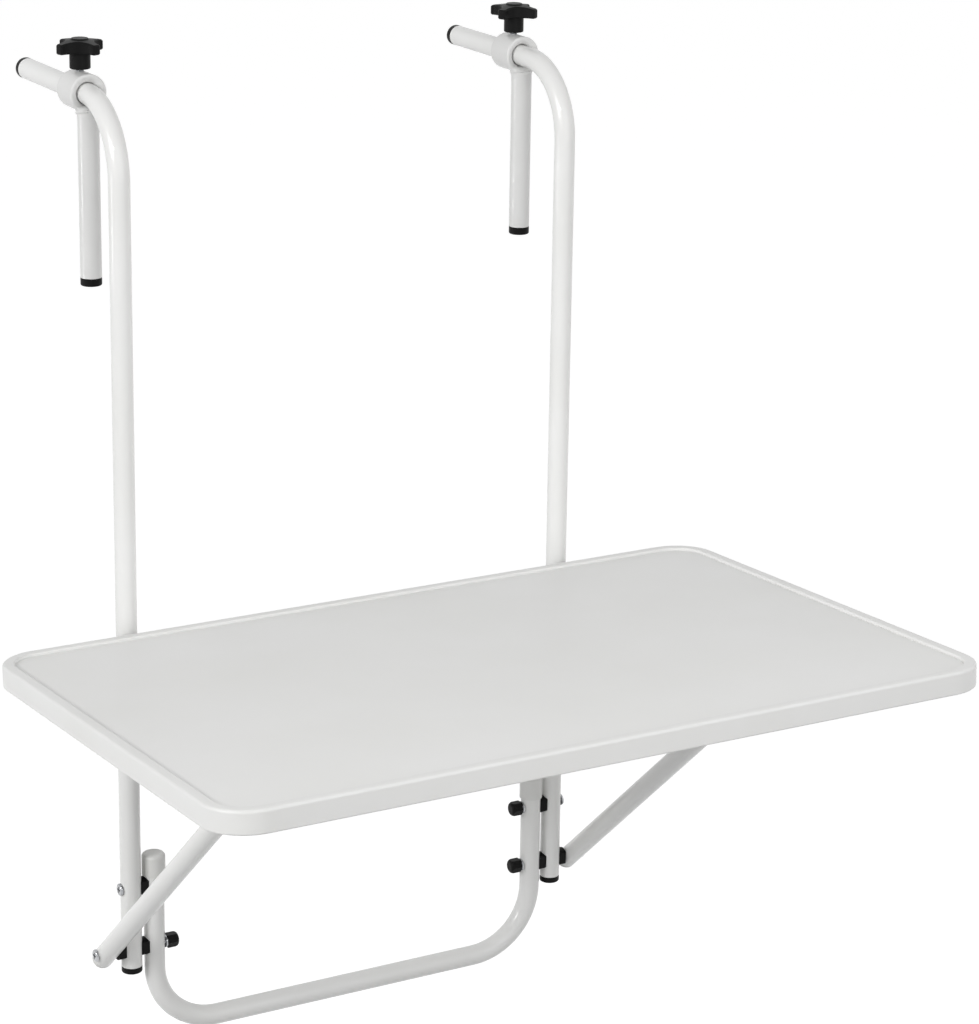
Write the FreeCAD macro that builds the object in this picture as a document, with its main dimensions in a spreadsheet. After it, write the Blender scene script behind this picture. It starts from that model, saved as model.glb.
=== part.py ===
import FreeCAD, Part
import os
import re
import Sketcher

# Balcony railing bar table: two bent tube posts hang over a railing, and carry a folding top.
# Millimetres. X runs along the railing, +Y points away from the user, +Z is up.
# The origin is where the railing's top edge sits: under the arms, at the rear of the posts.

Vector = FreeCAD.Vector
ALONG_X = Vector(1, 0, 0)
ALONG_Y = Vector(0, 1, 0)
ALONG_Z = Vector(0, 0, 1)

# Driving dimensions, each a cell of the spreadsheet
DIMENSIONS = {
    # Tubes
    "tube_diameter": 16,
    "tube_wall": 1.2,
    # Posts, with their arms over the railing
    "post_spacing": 370,
    "post_height": 665,
    "arm_reach": 170.5,
    "post_bend_radius": 55,
    # Sliding clamps on the arms
    "clamp_setback_left": 53,
    "clamp_setback_right": 66,
    "collar_diameter": 28.5,
    "collar_wall": 5.45,
    "collar_length": 27,
    "collar_seat_gap": 0.3,
    "collar_rounding": 2,
    "collar_mouth_rounding": 1.2,
    "hook_inset": 2,
    "hook_drop": 136,
    "weld_gap": 0.1,
    "hook_closing": 2.5,
    # Clamping screws and their star knobs
    "stud_inset": 15.5,
    "stud_diameter": 6,
    "stud_clearance": 0.05,
    "stud_tip_gap": 0.2,
    "stud_thread_depth": 13,
    "stud_neck": 1.8,
    "hub_diameter": 15.4,
    "hub_height": 12,
    "hub_rounding": 1,
    "grip_diameter": 39.8,
    "grip_height": 9.4,
    "grip_lobes": 4,
    "grip_tip_width": 7,
    "grip_tip_height": 7.3,
    "grip_tip_rounding": 1.6,
    "grip_waist": 21,
    "grip_edge": 0.9,
    "grip_crown_diameter": 14,
    "grip_crown_rise": 1,
    "knob_turn_left": 62,
    "knob_turn_right": 75,
    # Plastic end caps
    "plug_length": 14,
    "plug_wall": 1.5,
    "plug_clearance": 0.1,
    "arm_cap_head": 6,
    "foot_cap_head": 5,
    "hook_cap_head": 6,
    "bail_cap_head": 9,
    "cap_rounding": 1.2,
    "slip_cap_length": 17.5,
    "slip_cap_wall": 1,
    "slip_cap_roof": 2,
    "slip_cap_rounding": 3,
    # Foot frame that stands off the railing
    "foot_leg_rise": 23.2,
    "foot_drop": 71,
    "foot_bend_radius": 52,
    # Bolts through the posts
    "bolt_rise": 14,
    "bolt_pitch": 50,
    "bolt_diameter": 5,
    "bolt_clearance": 0.05,
    "pivot_clearance": 0.08,
    "bolt_head_diameter": 9.5,
    "bolt_head_height": 1.8,
    "bolt_recess_depth": 1.1,
    "bolt_recess_width": 1.3,
    "bolt_recess_length": 5,
    "spacer_thickness": 3,
    "pivot_spacer_thickness": 4.6,
    "spacer_height": 14.2,
    "spacer_depth": 10.6,
    "seat_gap": 0.1,
    "moving_gap": 0.3,
    "washer_diameter": 10,
    "washer_thickness": 1,
    "nut_width": 8,
    "nut_height": 4.7,
    "nut_cap_flats": 10.4,
    "nut_cap_reach": 11,
    "nut_cap_gap": 0.8,
    "nut_cap_rounding": 3,
    # Table top
    "top_width": 600,
    "top_depth": 400,
    "top_corner_radius": 33,
    "top_tilt": 3.5,
    "top_setback": 18,
    "board_thickness": 12,
    "board_gap": 0.1,
    "board_rebate": 0.3,
    "edge_wall": 2.5,
    "edge_lip": 2.5,
    "edge_lip_width": 9,
    "edge_rounding": 2.4,
    # Hinges between the top and the posts
    "hinge_height": 229,
    "hinge_drop": 16,
    "hinge_bolt_diameter": 6,
    "hinge_head_diameter": 11,
    "hinge_head_height": 4,
    "hinge_nut_width": 10,
    "hinge_nut_height": 5,
    "bracket_sheet": 2.5,
    "bracket_front": 72,
    "bracket_rear": 29,
    "bracket_nose_radius": 9,
    "bracket_lip": 12,
    # Support bail under the top
    "bail_length": 376,
    "bail_tail": 9,
    "bail_bend_radius": 45,
    # Snap clips that hold the bail
    "clip_spacing": 220,
    "clip_width": 14,
    "clip_base": 2.5,
    "clip_wall": 2.5,
    "clip_gap": 0.15,
    "clip_mouth": 13,
    "clip_flange": 13,
    # Wood screws under the top
    "screw_diameter": 4,
    "screw_length": 9,
    "screw_head_diameter": 7.6,
    "screw_head_height": 2.4,
}

# Sizes that follow from the driving ones
FOLLOWING = {
    "tube_radius": "(tube_diameter / 2)",
    "tube_bore": "(tube_diameter / 2 - tube_wall)",
    "leg_pitch": "(tube_diameter + spacer_thickness)",
    "bail_pitch": "(tube_diameter + pivot_spacer_thickness)",
    "post_x": "(post_spacing / 2)",
    "leg_x": "(post_x - leg_pitch)",
    "bail_x": "(post_x + bail_pitch)",
    "post_y": "(-tube_radius)",
    "foot_z": "(tube_radius - post_height)",
    "pivot_z": "(foot_z + bolt_rise)",
    "upper_z": "(pivot_z + bolt_pitch)",
    "hinge_z": "(pivot_z + hinge_height)",
    "collar_bore": "(collar_diameter / 2 - collar_wall)",
    "collar_z": "(collar_bore - collar_seat_gap)",
    "arm_top_z": "(tube_diameter)",
    "hub_z": "(collar_z + collar_diameter / 2 + stud_neck)",
    "valley_turn": "(180 deg / grip_lobes - asin(grip_tip_width / grip_diameter))",
    "valley_room": "(grip_diameter * cos(valley_turn) - grip_waist)",
    "valley_reach": "((grip_diameter ^ 2 - grip_waist ^ 2) / 4 / valley_room)",
    "tilt": "(top_tilt * 1 deg)",
    "slot_height": "(board_thickness - board_rebate + 2 * board_gap)",
    "edge_height": "(slot_height + 2 * edge_lip)",
    "edge_bottom": "(hinge_drop - board_gap - edge_lip)",
    "edge_top": "(edge_bottom + edge_height)",
    "board_inset": "(edge_wall + board_gap)",
    "clip_height": "(hinge_drop - clip_base - clip_gap - tube_radius)",
    "clip_bore": "(tube_radius + clip_gap)",
    "bail_rise": "(asin((clip_height + hinge_height * cos(tilt)) / bail_length))",
    "bail_angle": "(tilt + bail_rise)",
    "clip_y": "(hinge_height * sin(tilt) - bail_length * cos(bail_rise))",
    "bracket_half": "(tube_radius + moving_gap)",
    "bracket_y": "((bracket_front + bracket_rear) / 2)",
    "flange_y": "(clip_bore + clip_wall + clip_flange / 2)",
    "upper_reach": "(post_x + tube_radius)",
    "pivot_reach": "(bail_x + tube_radius)",
    "leg_face": "(leg_x - tube_radius)",
    "foot_plug": "(bolt_rise - bolt_diameter / 2 - tube_wall)",
    "bail_plug": "(bail_tail - bolt_diameter / 2 - tube_wall)",
}

doc = FreeCAD.newDocument("BalconyTable")
sheet = doc.addObject("Spreadsheet::Sheet", "Dims")
for row, (alias, value) in enumerate(DIMENSIONS.items(), start=1):
    sheet.set(f"A{row}", alias.replace("_", " "))
    sheet.set(f"B{row}", str(value))
    sheet.setAlias(f"B{row}", alias)
doc.recompute()

FOLLOWING_NAMES = re.compile(r"\b(" + "|".join(FOLLOWING) + r")\b")
CELL_NAMES = re.compile(r"(?<!\.)\b(" + "|".join(DIMENSIONS) + r")\b")


def formula(words):
    """The sheet expression for a size written in plain names."""
    words = str(words)
    while FOLLOWING_NAMES.search(words):
        words = FOLLOWING_NAMES.sub(lambda found: FOLLOWING[found.group()], words)
    return CELL_NAMES.sub(lambda found: "Dims." + found.group(), words)


def number(words):
    """The present value of a size written in plain names."""
    result = sheet.evalExpression(formula(words))
    return float(getattr(result, "Value", result))


# Sketches and features

def new_body(label):
    body = doc.addObject("PartDesign::Body", label)
    body.Label = label
    return body


def new_sketch(body, name, plane):
    """An empty sketch on one of the body's own origin planes."""
    sketch = body.newObject("Sketcher::SketchObject", name)
    planes = {feature.Role: feature for feature in body.Origin.OriginFeatures}
    sketch.AttachmentSupport = [(planes[plane], "")]
    sketch.MapMode = "FlatFace"
    return sketch


def bind_point(sketch, geometry, end, x, y):
    """Tie one end of a sketch line to coordinates written in plain names."""
    if x == "0" and y == "0":
        sketch.addConstraint(Sketcher.Constraint("Coincident", geometry, end, -1, 1))
        return
    for kind, words, axis in (("DistanceX", x, -2), ("DistanceY", y, -1)):
        if words == "0":
            sketch.addConstraint(Sketcher.Constraint("PointOnObject", geometry, end, axis))
            continue
        index = sketch.addConstraint(Sketcher.Constraint(kind, geometry, end, number(words)))
        sketch.setExpression(f"Constraints[{index}]", formula(words))


def draw_outline(sketch, corners):
    """A closed outline of straight lines through bound corners."""
    points = [Vector(number(x), number(y), 0) for x, y in corners]
    first = sketch.GeometryCount
    count = len(points)
    for index in range(count):
        sketch.addGeometry(Part.LineSegment(points[index], points[(index + 1) % count]))
    for index in range(count):
        following = first + (index + 1) % count
        sketch.addConstraint(Sketcher.Constraint("Coincident", first + index, 2, following, 1))
    for index, (x, y) in enumerate(corners):
        bind_point(sketch, first + index, 1, x, y)


def draw_circle(sketch, x, y, radius):
    """A circle with its centre and radius bound."""
    centre = Vector(number(x), number(y), 0)
    circle = sketch.addGeometry(Part.Circle(centre, ALONG_Z, number(radius)))
    bind_point(sketch, circle, 3, x, y)
    index = sketch.addConstraint(Sketcher.Constraint("Radius", circle, number(radius)))
    sketch.setExpression(f"Constraints[{index}]", formula(radius))


def draw_run(sketch, corners, radius, closed=False):
    """Level and upright lines joined by tangent arcs, through bound corners."""
    points = [Vector(number(x), number(y), 0) for x, y in corners]
    bend = number(radius)
    count = len(points)
    spans = [(i, (i + 1) % count) for i in range(count if closed else count - 1)]
    trimmed = []
    for start, end in spans:
        along = (points[end] - points[start]).normalize()
        opens = closed or start > 0
        ends = closed or end < count - 1
        head = points[start] + along * bend if opens else points[start]
        tail = points[end] - along * bend if ends else points[end]
        trimmed.append((head, tail, along))
    lines = []
    arcs = []
    joints = len(trimmed) if closed else len(trimmed) - 1
    for index, (head, tail, along) in enumerate(trimmed):
        lines.append(sketch.addGeometry(Part.LineSegment(head, tail)))
        if index < joints:
            next_head, _, next_along = trimmed[(index + 1) % len(trimmed)]
            centre = tail + next_along * bend
            middle = centre + (tail - centre + next_head - centre).normalize() * bend
            arcs.append(sketch.addGeometry(Part.Arc(tail, middle, next_head)))
    for index, arc in enumerate(arcs):
        turn = Sketcher.Constraint
        before = lines[index]
        after = lines[(index + 1) % len(lines)]
        head, tail = arc_ends(sketch, arc, trimmed[index][1])
        sketch.addConstraint(turn("Tangent", before, 2, arc, head))
        sketch.addConstraint(turn("Tangent", arc, tail, after, 1))
        bound = sketch.addConstraint(turn("Radius", arc, bend))
        sketch.setExpression(f"Constraints[{bound}]", formula(radius))
    for index, (start, end) in enumerate(spans):
        upright = abs(trimmed[index][2].x) < 0.5
        kind = "Vertical" if upright else "Horizontal"
        sketch.addConstraint(Sketcher.Constraint(kind, lines[index]))
    bind_run(sketch, corners, lines, spans, trimmed, closed)


def arc_ends(sketch, arc, start):
    """Which end of an arc lies at its start, and which at its far end."""
    if sketch.getPoint(arc, 1).distanceToPoint(start) < 1e-6:
        return 1, 2
    return 2, 1


def bind_run(sketch, corners, lines, spans, trimmed, closed):
    """Tie the lines of a run to the coordinates of their corners."""
    for index, (start, end) in enumerate(spans):
        upright = abs(trimmed[index][2].x) < 0.5
        x, y = corners[start]
        if not closed and index == 0:
            bind_point(sketch, lines[0], 1, x, y)
            continue
        across, kind, axis = (x, "DistanceX", -2) if upright else (y, "DistanceY", -1)
        bind_coordinate(sketch, lines[index], 1, kind, across, axis)
    if not closed:
        x, y = corners[-1]
        upright = abs(trimmed[-1][2].x) < 0.5
        along, kind, axis = (y, "DistanceY", -1) if upright else (x, "DistanceX", -2)
        bind_coordinate(sketch, lines[-1], 2, kind, along, axis)


def bind_coordinate(sketch, geometry, end, kind, words, axis):
    """Tie one coordinate of a line's end."""
    if words == "0":
        sketch.addConstraint(Sketcher.Constraint("PointOnObject", geometry, end, axis))
        return
    index = sketch.addConstraint(Sketcher.Constraint(kind, geometry, end, number(words)))
    sketch.setExpression(f"Constraints[{index}]", formula(words))


def pad(body, sketch, length, centred=False):
    feature = body.newObject("PartDesign::Pad", "Pad")
    feature.Profile = sketch
    feature.setExpression("Length", formula(length))
    feature.Midplane = centred
    return feature


def pocket(body, sketch, length=None, centred=False, flipped=False):
    """Cut a sketch out of the body, through all of it unless a length is given."""
    before = volume_of(body)
    feature = body.newObject("PartDesign::Pocket", "Pocket")
    feature.Profile = sketch
    feature.Midplane = centred
    feature.Reversed = flipped
    if length is None:
        feature.Type = 1
    else:
        feature.setExpression("Length", formula(length))
    if volume_of(body) > before - 0.01:
        raise RuntimeError(f"a pocket of {body.Label} cuts nothing")
    return feature


def volume_of(body):
    doc.recompute()
    return body.Shape.Volume


def turned(body, name, corners, axis="V_Axis"):
    """A solid of revolution from an outline of radius and height."""
    sketch = new_sketch(body, name, "XZ_Plane")
    draw_outline(sketch, corners)
    feature = body.newObject("PartDesign::Revolution", name + "_turned")
    feature.Profile = sketch
    feature.ReferenceAxis = (sketch, [axis])
    feature.Angle = 360
    return feature


def swept_tube(body, corners, radius, plane, mouth_plane):
    """A bent tube: its ring-shaped section is swept along a run of lines and arcs."""
    path = new_sketch(body, "centre_line", plane)
    draw_run(path, corners, radius)
    section = new_sketch(body, "section", mouth_plane)
    draw_circle(section, "0", "0", "tube_radius")
    draw_circle(section, "0", "0", "tube_bore")
    feature = body.newObject("PartDesign::AdditivePipe", "bent_tube")
    feature.Profile = section
    feature.Spine = (path, [])
    return feature


def cross_hole(body, centres, radius, plane="YZ_Plane"):
    """Round holes right through the body, square to a plane."""
    sketch = new_sketch(body, "holes", plane)
    for x, y in centres:
        draw_circle(sketch, x, y, radius)
    return pocket(body, sketch, centred=True)


def rounded(body, radius, wanted):
    """Round those edges of the body's last feature that a test picks."""
    doc.recompute()
    base = body.Tip
    names = [f"Edge{i}" for i, edge in enumerate(base.Shape.Edges, start=1) if wanted(edge)]
    feature = body.newObject("PartDesign::Fillet", "Fillet")
    feature.Base = (base, names)
    feature.setExpression("Radius", formula(radius))
    return feature


def chamfered(body, size, wanted):
    """Break those edges of the body's last feature that a test picks."""
    doc.recompute()
    base = body.Tip
    names = [f"Edge{i}" for i, edge in enumerate(base.Shape.Edges, start=1) if wanted(edge)]
    feature = body.newObject("PartDesign::Chamfer", "Chamfer")
    feature.Base = (base, names)
    feature.setExpression("Size", formula(size))
    return feature


def circle_at(edge, height, radius, direction=ALONG_Z):
    """Whether an edge is a circle of a radius round the direction, at a height along it."""
    if not isinstance(edge.Curve, Part.Circle):
        return False
    along = abs(edge.Curve.Center.dot(direction) - height) < 0.01
    return along and abs(edge.Curve.Radius - radius) < 0.01


def place(piece, x="0", y="0", z="0", lean=None, turn=None):
    """Put a piece where its names say, leaned back about X or turned about Z if asked."""
    for angle, axis in ((lean, -ALONG_X), (turn, ALONG_Z)):
        if angle is not None:
            piece.Placement = FreeCAD.Placement(Vector(), FreeCAD.Rotation(axis, number(angle)))
            piece.setExpression("Placement.Rotation.Angle", formula(angle))
    for letter, words in (("x", x), ("y", y), ("z", z)):
        if words != "0":
            piece.setExpression(f"Placement.Base.{letter}", formula(words))


def mirrored(source, label, normal, base_z="0"):
    """The mirror image of a piece, across the middle plane or a level one."""
    image = doc.addObject("Part::Mirroring", label)
    image.Label = label
    image.Source = source
    image.Normal = normal
    if base_z != "0":
        image.setExpression("Base.z", formula(base_z))
    return image


def gathered(label, pieces):
    """Several separate solids under one name."""
    group = doc.addObject("Part::Compound", label)
    group.Label = label
    group.Links = pieces
    return group


def both_sides(label, piece):
    """A right-hand piece and its mirror image under one name."""
    return gathered(label, [piece, mirrored(piece, label + "_image", ALONG_X)])


def at_both_bolts(label, piece):
    """A piece at the pivot bolt, again at the upper bolt, and both on each side."""
    middle = "(pivot_z + upper_z) / 2"
    above = mirrored(piece, label + "_above", ALONG_Z, middle)
    return both_sides(label, gathered(label + "_pair", [piece, above]))


SIDES = {"left": "-", "right": ""}
NODES = []


def keep(piece):
    """Mark a piece as one of the object's own, to be written out."""
    NODES.append(piece)
    return piece


# Posts and end caps

def make_post(side, sign):
    """A J-shaped post: upright, a quarter bend, and the arm over the railing."""
    post = new_body(f"post_{side}")
    corners = [("0", "0"), ("0", "post_height"), ("arm_reach", "post_height")]
    swept_tube(post, corners, "post_bend_radius", "YZ_Plane", "XY_Plane")
    heights = ["bolt_rise", "bolt_rise + bolt_pitch"]
    cross_hole(post, [("0", height) for height in heights], "bolt_diameter / 2 + bolt_clearance")
    hinge_radius = "hinge_bolt_diameter / 2 + bolt_clearance"
    cross_hole(post, [("0", "bolt_rise + hinge_height")], hinge_radius)
    place(post, sign + "post_x", "post_y", "foot_z")
    return keep(post)


def make_plug(label, head, rounding, depth="plug_length"):
    """A plug cap: a hollow spigot inside the tube and a round head over its end."""
    plug = new_body(label)
    spigot = "tube_bore - plug_clearance"
    inside = "tube_bore - plug_clearance - plug_wall"
    corners = [
        ("0", "0"),
        (inside, "0"),
        (inside, depth),
        (spigot, depth),
        (spigot, "0"),
        ("tube_radius", "0"),
        ("tube_radius", "-" + head),
        ("0", "-" + head),
    ]
    turned(plug, "cap", corners)
    end = number("-" + head)
    rounded(plug, rounding, lambda edge: circle_at(edge, end, number("tube_radius")))
    return keep(plug)


def make_post_caps(side, sign):
    """The caps at the two ends of a post."""
    foot_cap = make_plug(f"post_foot_cap_{side}", "foot_cap_head", "cap_rounding", "foot_plug")
    place(foot_cap, sign + "post_x", "post_y", "foot_z - seat_gap")
    arm_cap = make_plug(f"arm_end_cap_{side}", "arm_cap_head", "cap_rounding")
    arm_cap.Placement = FreeCAD.Placement(Vector(), FreeCAD.Rotation(ALONG_X, 90))
    place(arm_cap, sign + "post_x", "post_y + arm_reach + seat_gap", "tube_radius")


# Foot frame

def make_foot_frame():
    """A U-shaped tube bolted inside the posts, standing off the railing's bars."""
    frame = new_body("foot_frame")
    drop = "(foot_leg_rise + bolt_pitch + foot_drop)"
    corners = [("0", "0"), ("0", "-" + drop), ("2 * leg_x", "-" + drop), ("2 * leg_x", "0")]
    swept_tube(frame, corners, "foot_bend_radius", "XZ_Plane", "XY_Plane")
    depths = ["-foot_leg_rise", "-foot_leg_rise - bolt_pitch"]
    cross_hole(frame, [("0", depth) for depth in depths], "bolt_diameter / 2 + bolt_clearance")
    place(frame, "-leg_x", "post_y", "upper_z + foot_leg_rise")
    return keep(frame)


def make_slip_cap(side, sign):
    """A soft cap slipped over the top end of a foot frame leg."""
    cap = new_body(f"foot_frame_cap_{side}")
    bore = "(tube_radius + plug_clearance)"
    outer = f"({bore} + slip_cap_wall)"
    corners = [
        ("0", "seat_gap"),
        (bore, "seat_gap"),
        (bore, "slip_cap_roof - slip_cap_length"),
        (outer, "slip_cap_roof - slip_cap_length"),
        (outer, "slip_cap_roof"),
        ("0", "slip_cap_roof"),
    ]
    turned(cap, "cap", corners)
    top = number("slip_cap_roof")
    rounded(cap, "slip_cap_rounding", lambda edge: circle_at(edge, top, number(outer)))
    place(cap, sign + "leg_x", "post_y", "upper_z + foot_leg_rise")
    return keep(cap)


# Bolts, spacers and nuts along the X axis

def make_bolt(label, reach, bolt_z):
    """A pan-head bolt from the outermost tube to the nut inside the foot frame."""
    bolt = new_body(label + "_right")
    head_face = f"{reach} + seat_gap"
    if reach == "pivot_reach":
        head_face = f"{reach} + moving_gap"
    shank = "bolt_diameter / 2"
    tip = "leg_face - seat_gap - washer_thickness - nut_height - bolt_diameter / 5"
    corners = [
        (tip, "0"),
        (tip, shank),
        (head_face, shank),
        (head_face, "bolt_head_diameter / 2"),
        (f"{head_face} + bolt_head_height", "bolt_head_diameter / 2"),
        (f"{head_face} + bolt_head_height", "0"),
    ]
    turned(bolt, "bolt", corners, "H_Axis")
    crown = number(f"{head_face} + bolt_head_height")
    radius = number("bolt_head_diameter / 2")
    rounded(bolt, "bolt_head_height / 2", lambda edge: circle_at(edge, crown, radius, ALONG_X))
    cut_cross_recess(bolt, f"{head_face} + bolt_head_height")
    place(bolt, "0", "post_y", bolt_z)
    return keep(both_sides(label, bolt))


def cut_cross_recess(bolt, crown):
    """A cross-shaped driver recess in the crown of a bolt head."""
    for name, across, upright in (
        ("slot_level", "bolt_recess_length / 2", "bolt_recess_width / 2"),
        ("slot_upright", "bolt_recess_width / 2", "bolt_recess_length / 2"),
    ):
        slot = new_sketch(bolt, name, "YZ_Plane")
        slot.setExpression("AttachmentOffset.Base.z", formula(crown))
        corners = [
            ("-" + across, "-" + upright),
            (across, "-" + upright),
            (across, upright),
            ("-" + across, upright),
        ]
        draw_outline(slot, corners)
        pocket(bolt, slot, "bolt_recess_depth")


def make_inner_spacers():
    """Double saddle spacers between each post and the foot frame's leg."""
    blank = spacer_blank("inner", "leg_x", "leg_pitch")
    cutters = [saddle_cutter("leg_x"), saddle_cutter("post_x"), bolt_cutter("leg_x", "leg_pitch")]
    return keep(at_both_bolts("inner_spacers", cut_away("inner_spacer", blank, cutters)))


def make_pivot_spacers():
    """Spacers between each post and the bail: a saddle on the post, flat to the bail."""
    blank = spacer_blank("pivot", "post_x", "bail_pitch - tube_radius - moving_gap")
    cutters = [saddle_cutter("post_x"), bolt_cutter("post_x", "bail_pitch")]
    return keep(both_sides("pivot_spacers", cut_away("pivot_spacer", blank, cutters)))


def spacer_blank(label, start_x, length):
    """A level pin along the X axis, flattened at the front and rear."""
    pin = doc.addObject("Part::Cylinder", label + "_spacer_pin")
    pin.setExpression("Radius", formula("spacer_height / 2"))
    pin.setExpression("Height", formula(length))
    pin.Placement = FreeCAD.Placement(Vector(), FreeCAD.Rotation(ALONG_Y, 90))
    place(pin, start_x, "post_y", "pivot_z")
    slab = doc.addObject("Part::Box", label + "_spacer_slab")
    slab.setExpression("Length", formula(length))
    slab.setExpression("Width", formula("spacer_depth"))
    slab.setExpression("Height", formula("spacer_height"))
    place(slab, start_x, "post_y - spacer_depth / 2", "pivot_z - spacer_height / 2")
    blank = doc.addObject("Part::Common", label + "_spacer_blank")
    blank.Base = pin
    blank.Tool = slab
    return blank


def saddle_cutter(axis_x):
    """An upright cylinder as wide as a tube and its seating gap."""
    cutter = doc.addObject("Part::Cylinder", "saddle")
    cutter.setExpression("Radius", formula("tube_radius + seat_gap"))
    cutter.setExpression("Height", formula("2 * spacer_height"))
    place(cutter, axis_x, "post_y", "pivot_z - spacer_height")
    return cutter


def bolt_cutter(start_x, pitch):
    """A level cylinder as wide as a bolt's hole."""
    cutter = doc.addObject("Part::Cylinder", "bolt_hole")
    cutter.setExpression("Radius", formula("bolt_diameter / 2 + bolt_clearance"))
    cutter.setExpression("Height", formula(f"2 * {pitch}"))
    cutter.Placement = FreeCAD.Placement(Vector(), FreeCAD.Rotation(ALONG_Y, 90))
    place(cutter, start_x, "post_y", "pivot_z")
    return cutter


def cut_away(label, blank, cutters):
    """A blank less its cutters."""
    tools = doc.addObject("Part::MultiFuse", label + "_tools")
    tools.Shapes = cutters
    cut = doc.addObject("Part::Cut", label)
    cut.Base = blank
    cut.Tool = tools
    return cut


def make_washers():
    """Washers between the foot frame's legs and the nuts."""
    washer = new_body("washer_right")
    face = "leg_face - seat_gap"
    bore = "bolt_diameter / 2 + bolt_clearance"
    corners = [
        (face, bore),
        (face, "washer_diameter / 2"),
        (f"{face} - washer_thickness", "washer_diameter / 2"),
        (f"{face} - washer_thickness", bore),
    ]
    turned(washer, "washer", corners, "H_Axis")
    place(washer, "0", "post_y", "pivot_z")
    return keep(at_both_bolts("nut_washers", washer))


def hexagon(label, width, height, bore, x, y, z):
    """A six-sided nut along the X axis, with a bore, starting at a face."""
    prism = doc.addObject("Part::Prism", label + "_hexagon")
    prism.Polygon = 6
    prism.setExpression("Circumradius", formula(f"{width} / sqrt(3)"))
    prism.setExpression("Height", formula(height))
    hole = doc.addObject("Part::Cylinder", label + "_bore")
    hole.setExpression("Radius", formula(bore))
    hole.setExpression("Height", formula(height))
    for piece in (prism, hole):
        piece.Placement = FreeCAD.Placement(Vector(), FreeCAD.Rotation(ALONG_Y, -90))
        place(piece, x, y, z)
    nut = doc.addObject("Part::Cut", label)
    nut.Base = prism
    nut.Tool = hole
    return nut


def make_nuts():
    """Nuts at the inner ends of the four bolts."""
    bore = "bolt_diameter / 2 + bolt_clearance"
    face = "leg_face - seat_gap - washer_thickness"
    nut = hexagon("nut_right", "nut_width", "nut_height", bore, face, "post_y", "pivot_z")
    return keep(at_both_bolts("lock_nuts", nut))


def make_nut_caps():
    """Six-sided plastic caps with domed ends, pressed over the nuts."""
    cap = new_body("nut_cap_right")
    mouth = "leg_face - seat_gap - washer_thickness - nut_cap_gap"
    roof = "leg_face - seat_gap - washer_thickness - nut_height - bolt_diameter / 5 - seat_gap"
    bore = "(nut_width / sqrt(3) + seat_gap)"
    outer = "(nut_cap_flats / sqrt(3))"
    end = "leg_face - nut_cap_reach"
    corners = [
        (mouth, bore),
        (mouth, outer),
        (end, outer),
        (end, "0"),
        (roof, "0"),
        (roof, bore),
    ]
    turned(cap, "cap", corners, "H_Axis")
    crown = number(end)
    rim = number(outer)
    rounded(cap, "nut_cap_rounding", lambda edge: circle_at(edge, crown, rim, ALONG_X))
    flats = new_sketch(cap, "flats", "YZ_Plane")
    flats.setExpression("AttachmentOffset.Base.z", formula(end))
    half = "(nut_cap_flats / 2)"
    hexagon_corners = [
        (f"{half} / sqrt(3)", half),
        (outer, "0"),
        (f"{half} / sqrt(3)", f"-{half}"),
        (f"-{half} / sqrt(3)", f"-{half}"),
        ("-" + outer, "0"),
        (f"-{half} / sqrt(3)", half),
    ]
    draw_outline(flats, hexagon_corners)
    draw_circle(flats, "0", "0", "nut_cap_flats")
    pocket(cap, flats, "nut_cap_reach", flipped=True)
    place(cap, "0", "post_y", "pivot_z")
    return keep(at_both_bolts("nut_caps", cap))


# Sliding clamps

def make_collar(side, sign, setback):
    """A short thick ring that slides on the arm, tapped for the clamping screw."""
    collar = new_body(f"collar_{side}")
    ring = new_sketch(collar, "ring", "XZ_Plane")
    draw_circle(ring, "0", "0", "collar_diameter / 2")
    draw_circle(ring, "0", "0", "collar_bore")
    feature = pad(collar, ring, "collar_length")
    feature.Reversed = True
    ends = (0.0, number("collar_length"))
    for size, radius in (
        ("collar_rounding", "collar_diameter / 2"),
        ("collar_mouth_rounding", "collar_bore"),
    ):
        reach = number(radius)
        rounded(collar, size, lambda edge: any(circle_at(edge, y, reach, ALONG_Y) for y in ends))
    hole = new_sketch(collar, "screw_hole", "XY_Plane")
    draw_circle(hole, "0", "stud_inset", "stud_diameter / 2 + stud_clearance")
    pocket(collar, hole, "collar_diameter", flipped=True)
    place(collar, sign + "post_x", f"post_y + {setback}", "collar_z")
    return keep(collar)


def make_hook(side, sign, setback):
    """The tube that hangs behind the railing, closed and coped to the collar it is welded to."""
    hook = new_body(f"hook_tube_{side}")
    centre = "hook_drop - tube_radius + collar_z"
    cope_radius = "collar_diameter / 2 + weld_gap"
    section = new_sketch(hook, "section", "XY_Plane")
    draw_circle(section, "0", "0", "tube_radius")
    pad(hook, section, centre)
    bore = new_sketch(hook, "bore", "XY_Plane")
    draw_circle(bore, "0", "0", "tube_bore")
    pocket(hook, bore, f"{centre} - {cope_radius} - hook_closing", flipped=True)
    cope = new_sketch(hook, "cope", "XZ_Plane")
    draw_circle(cope, "0", centre, cope_radius)
    pocket(hook, cope, centred=True)
    place(hook, sign + "post_x", f"post_y + {setback} + hook_inset", "tube_radius - hook_drop")
    cap = make_plug(f"hook_cap_{side}", "hook_cap_head", "cap_rounding")
    cap_z = "tube_radius - hook_drop - seat_gap"
    place(cap, sign + "post_x", f"post_y + {setback} + hook_inset", cap_z)
    return keep(hook)


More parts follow.
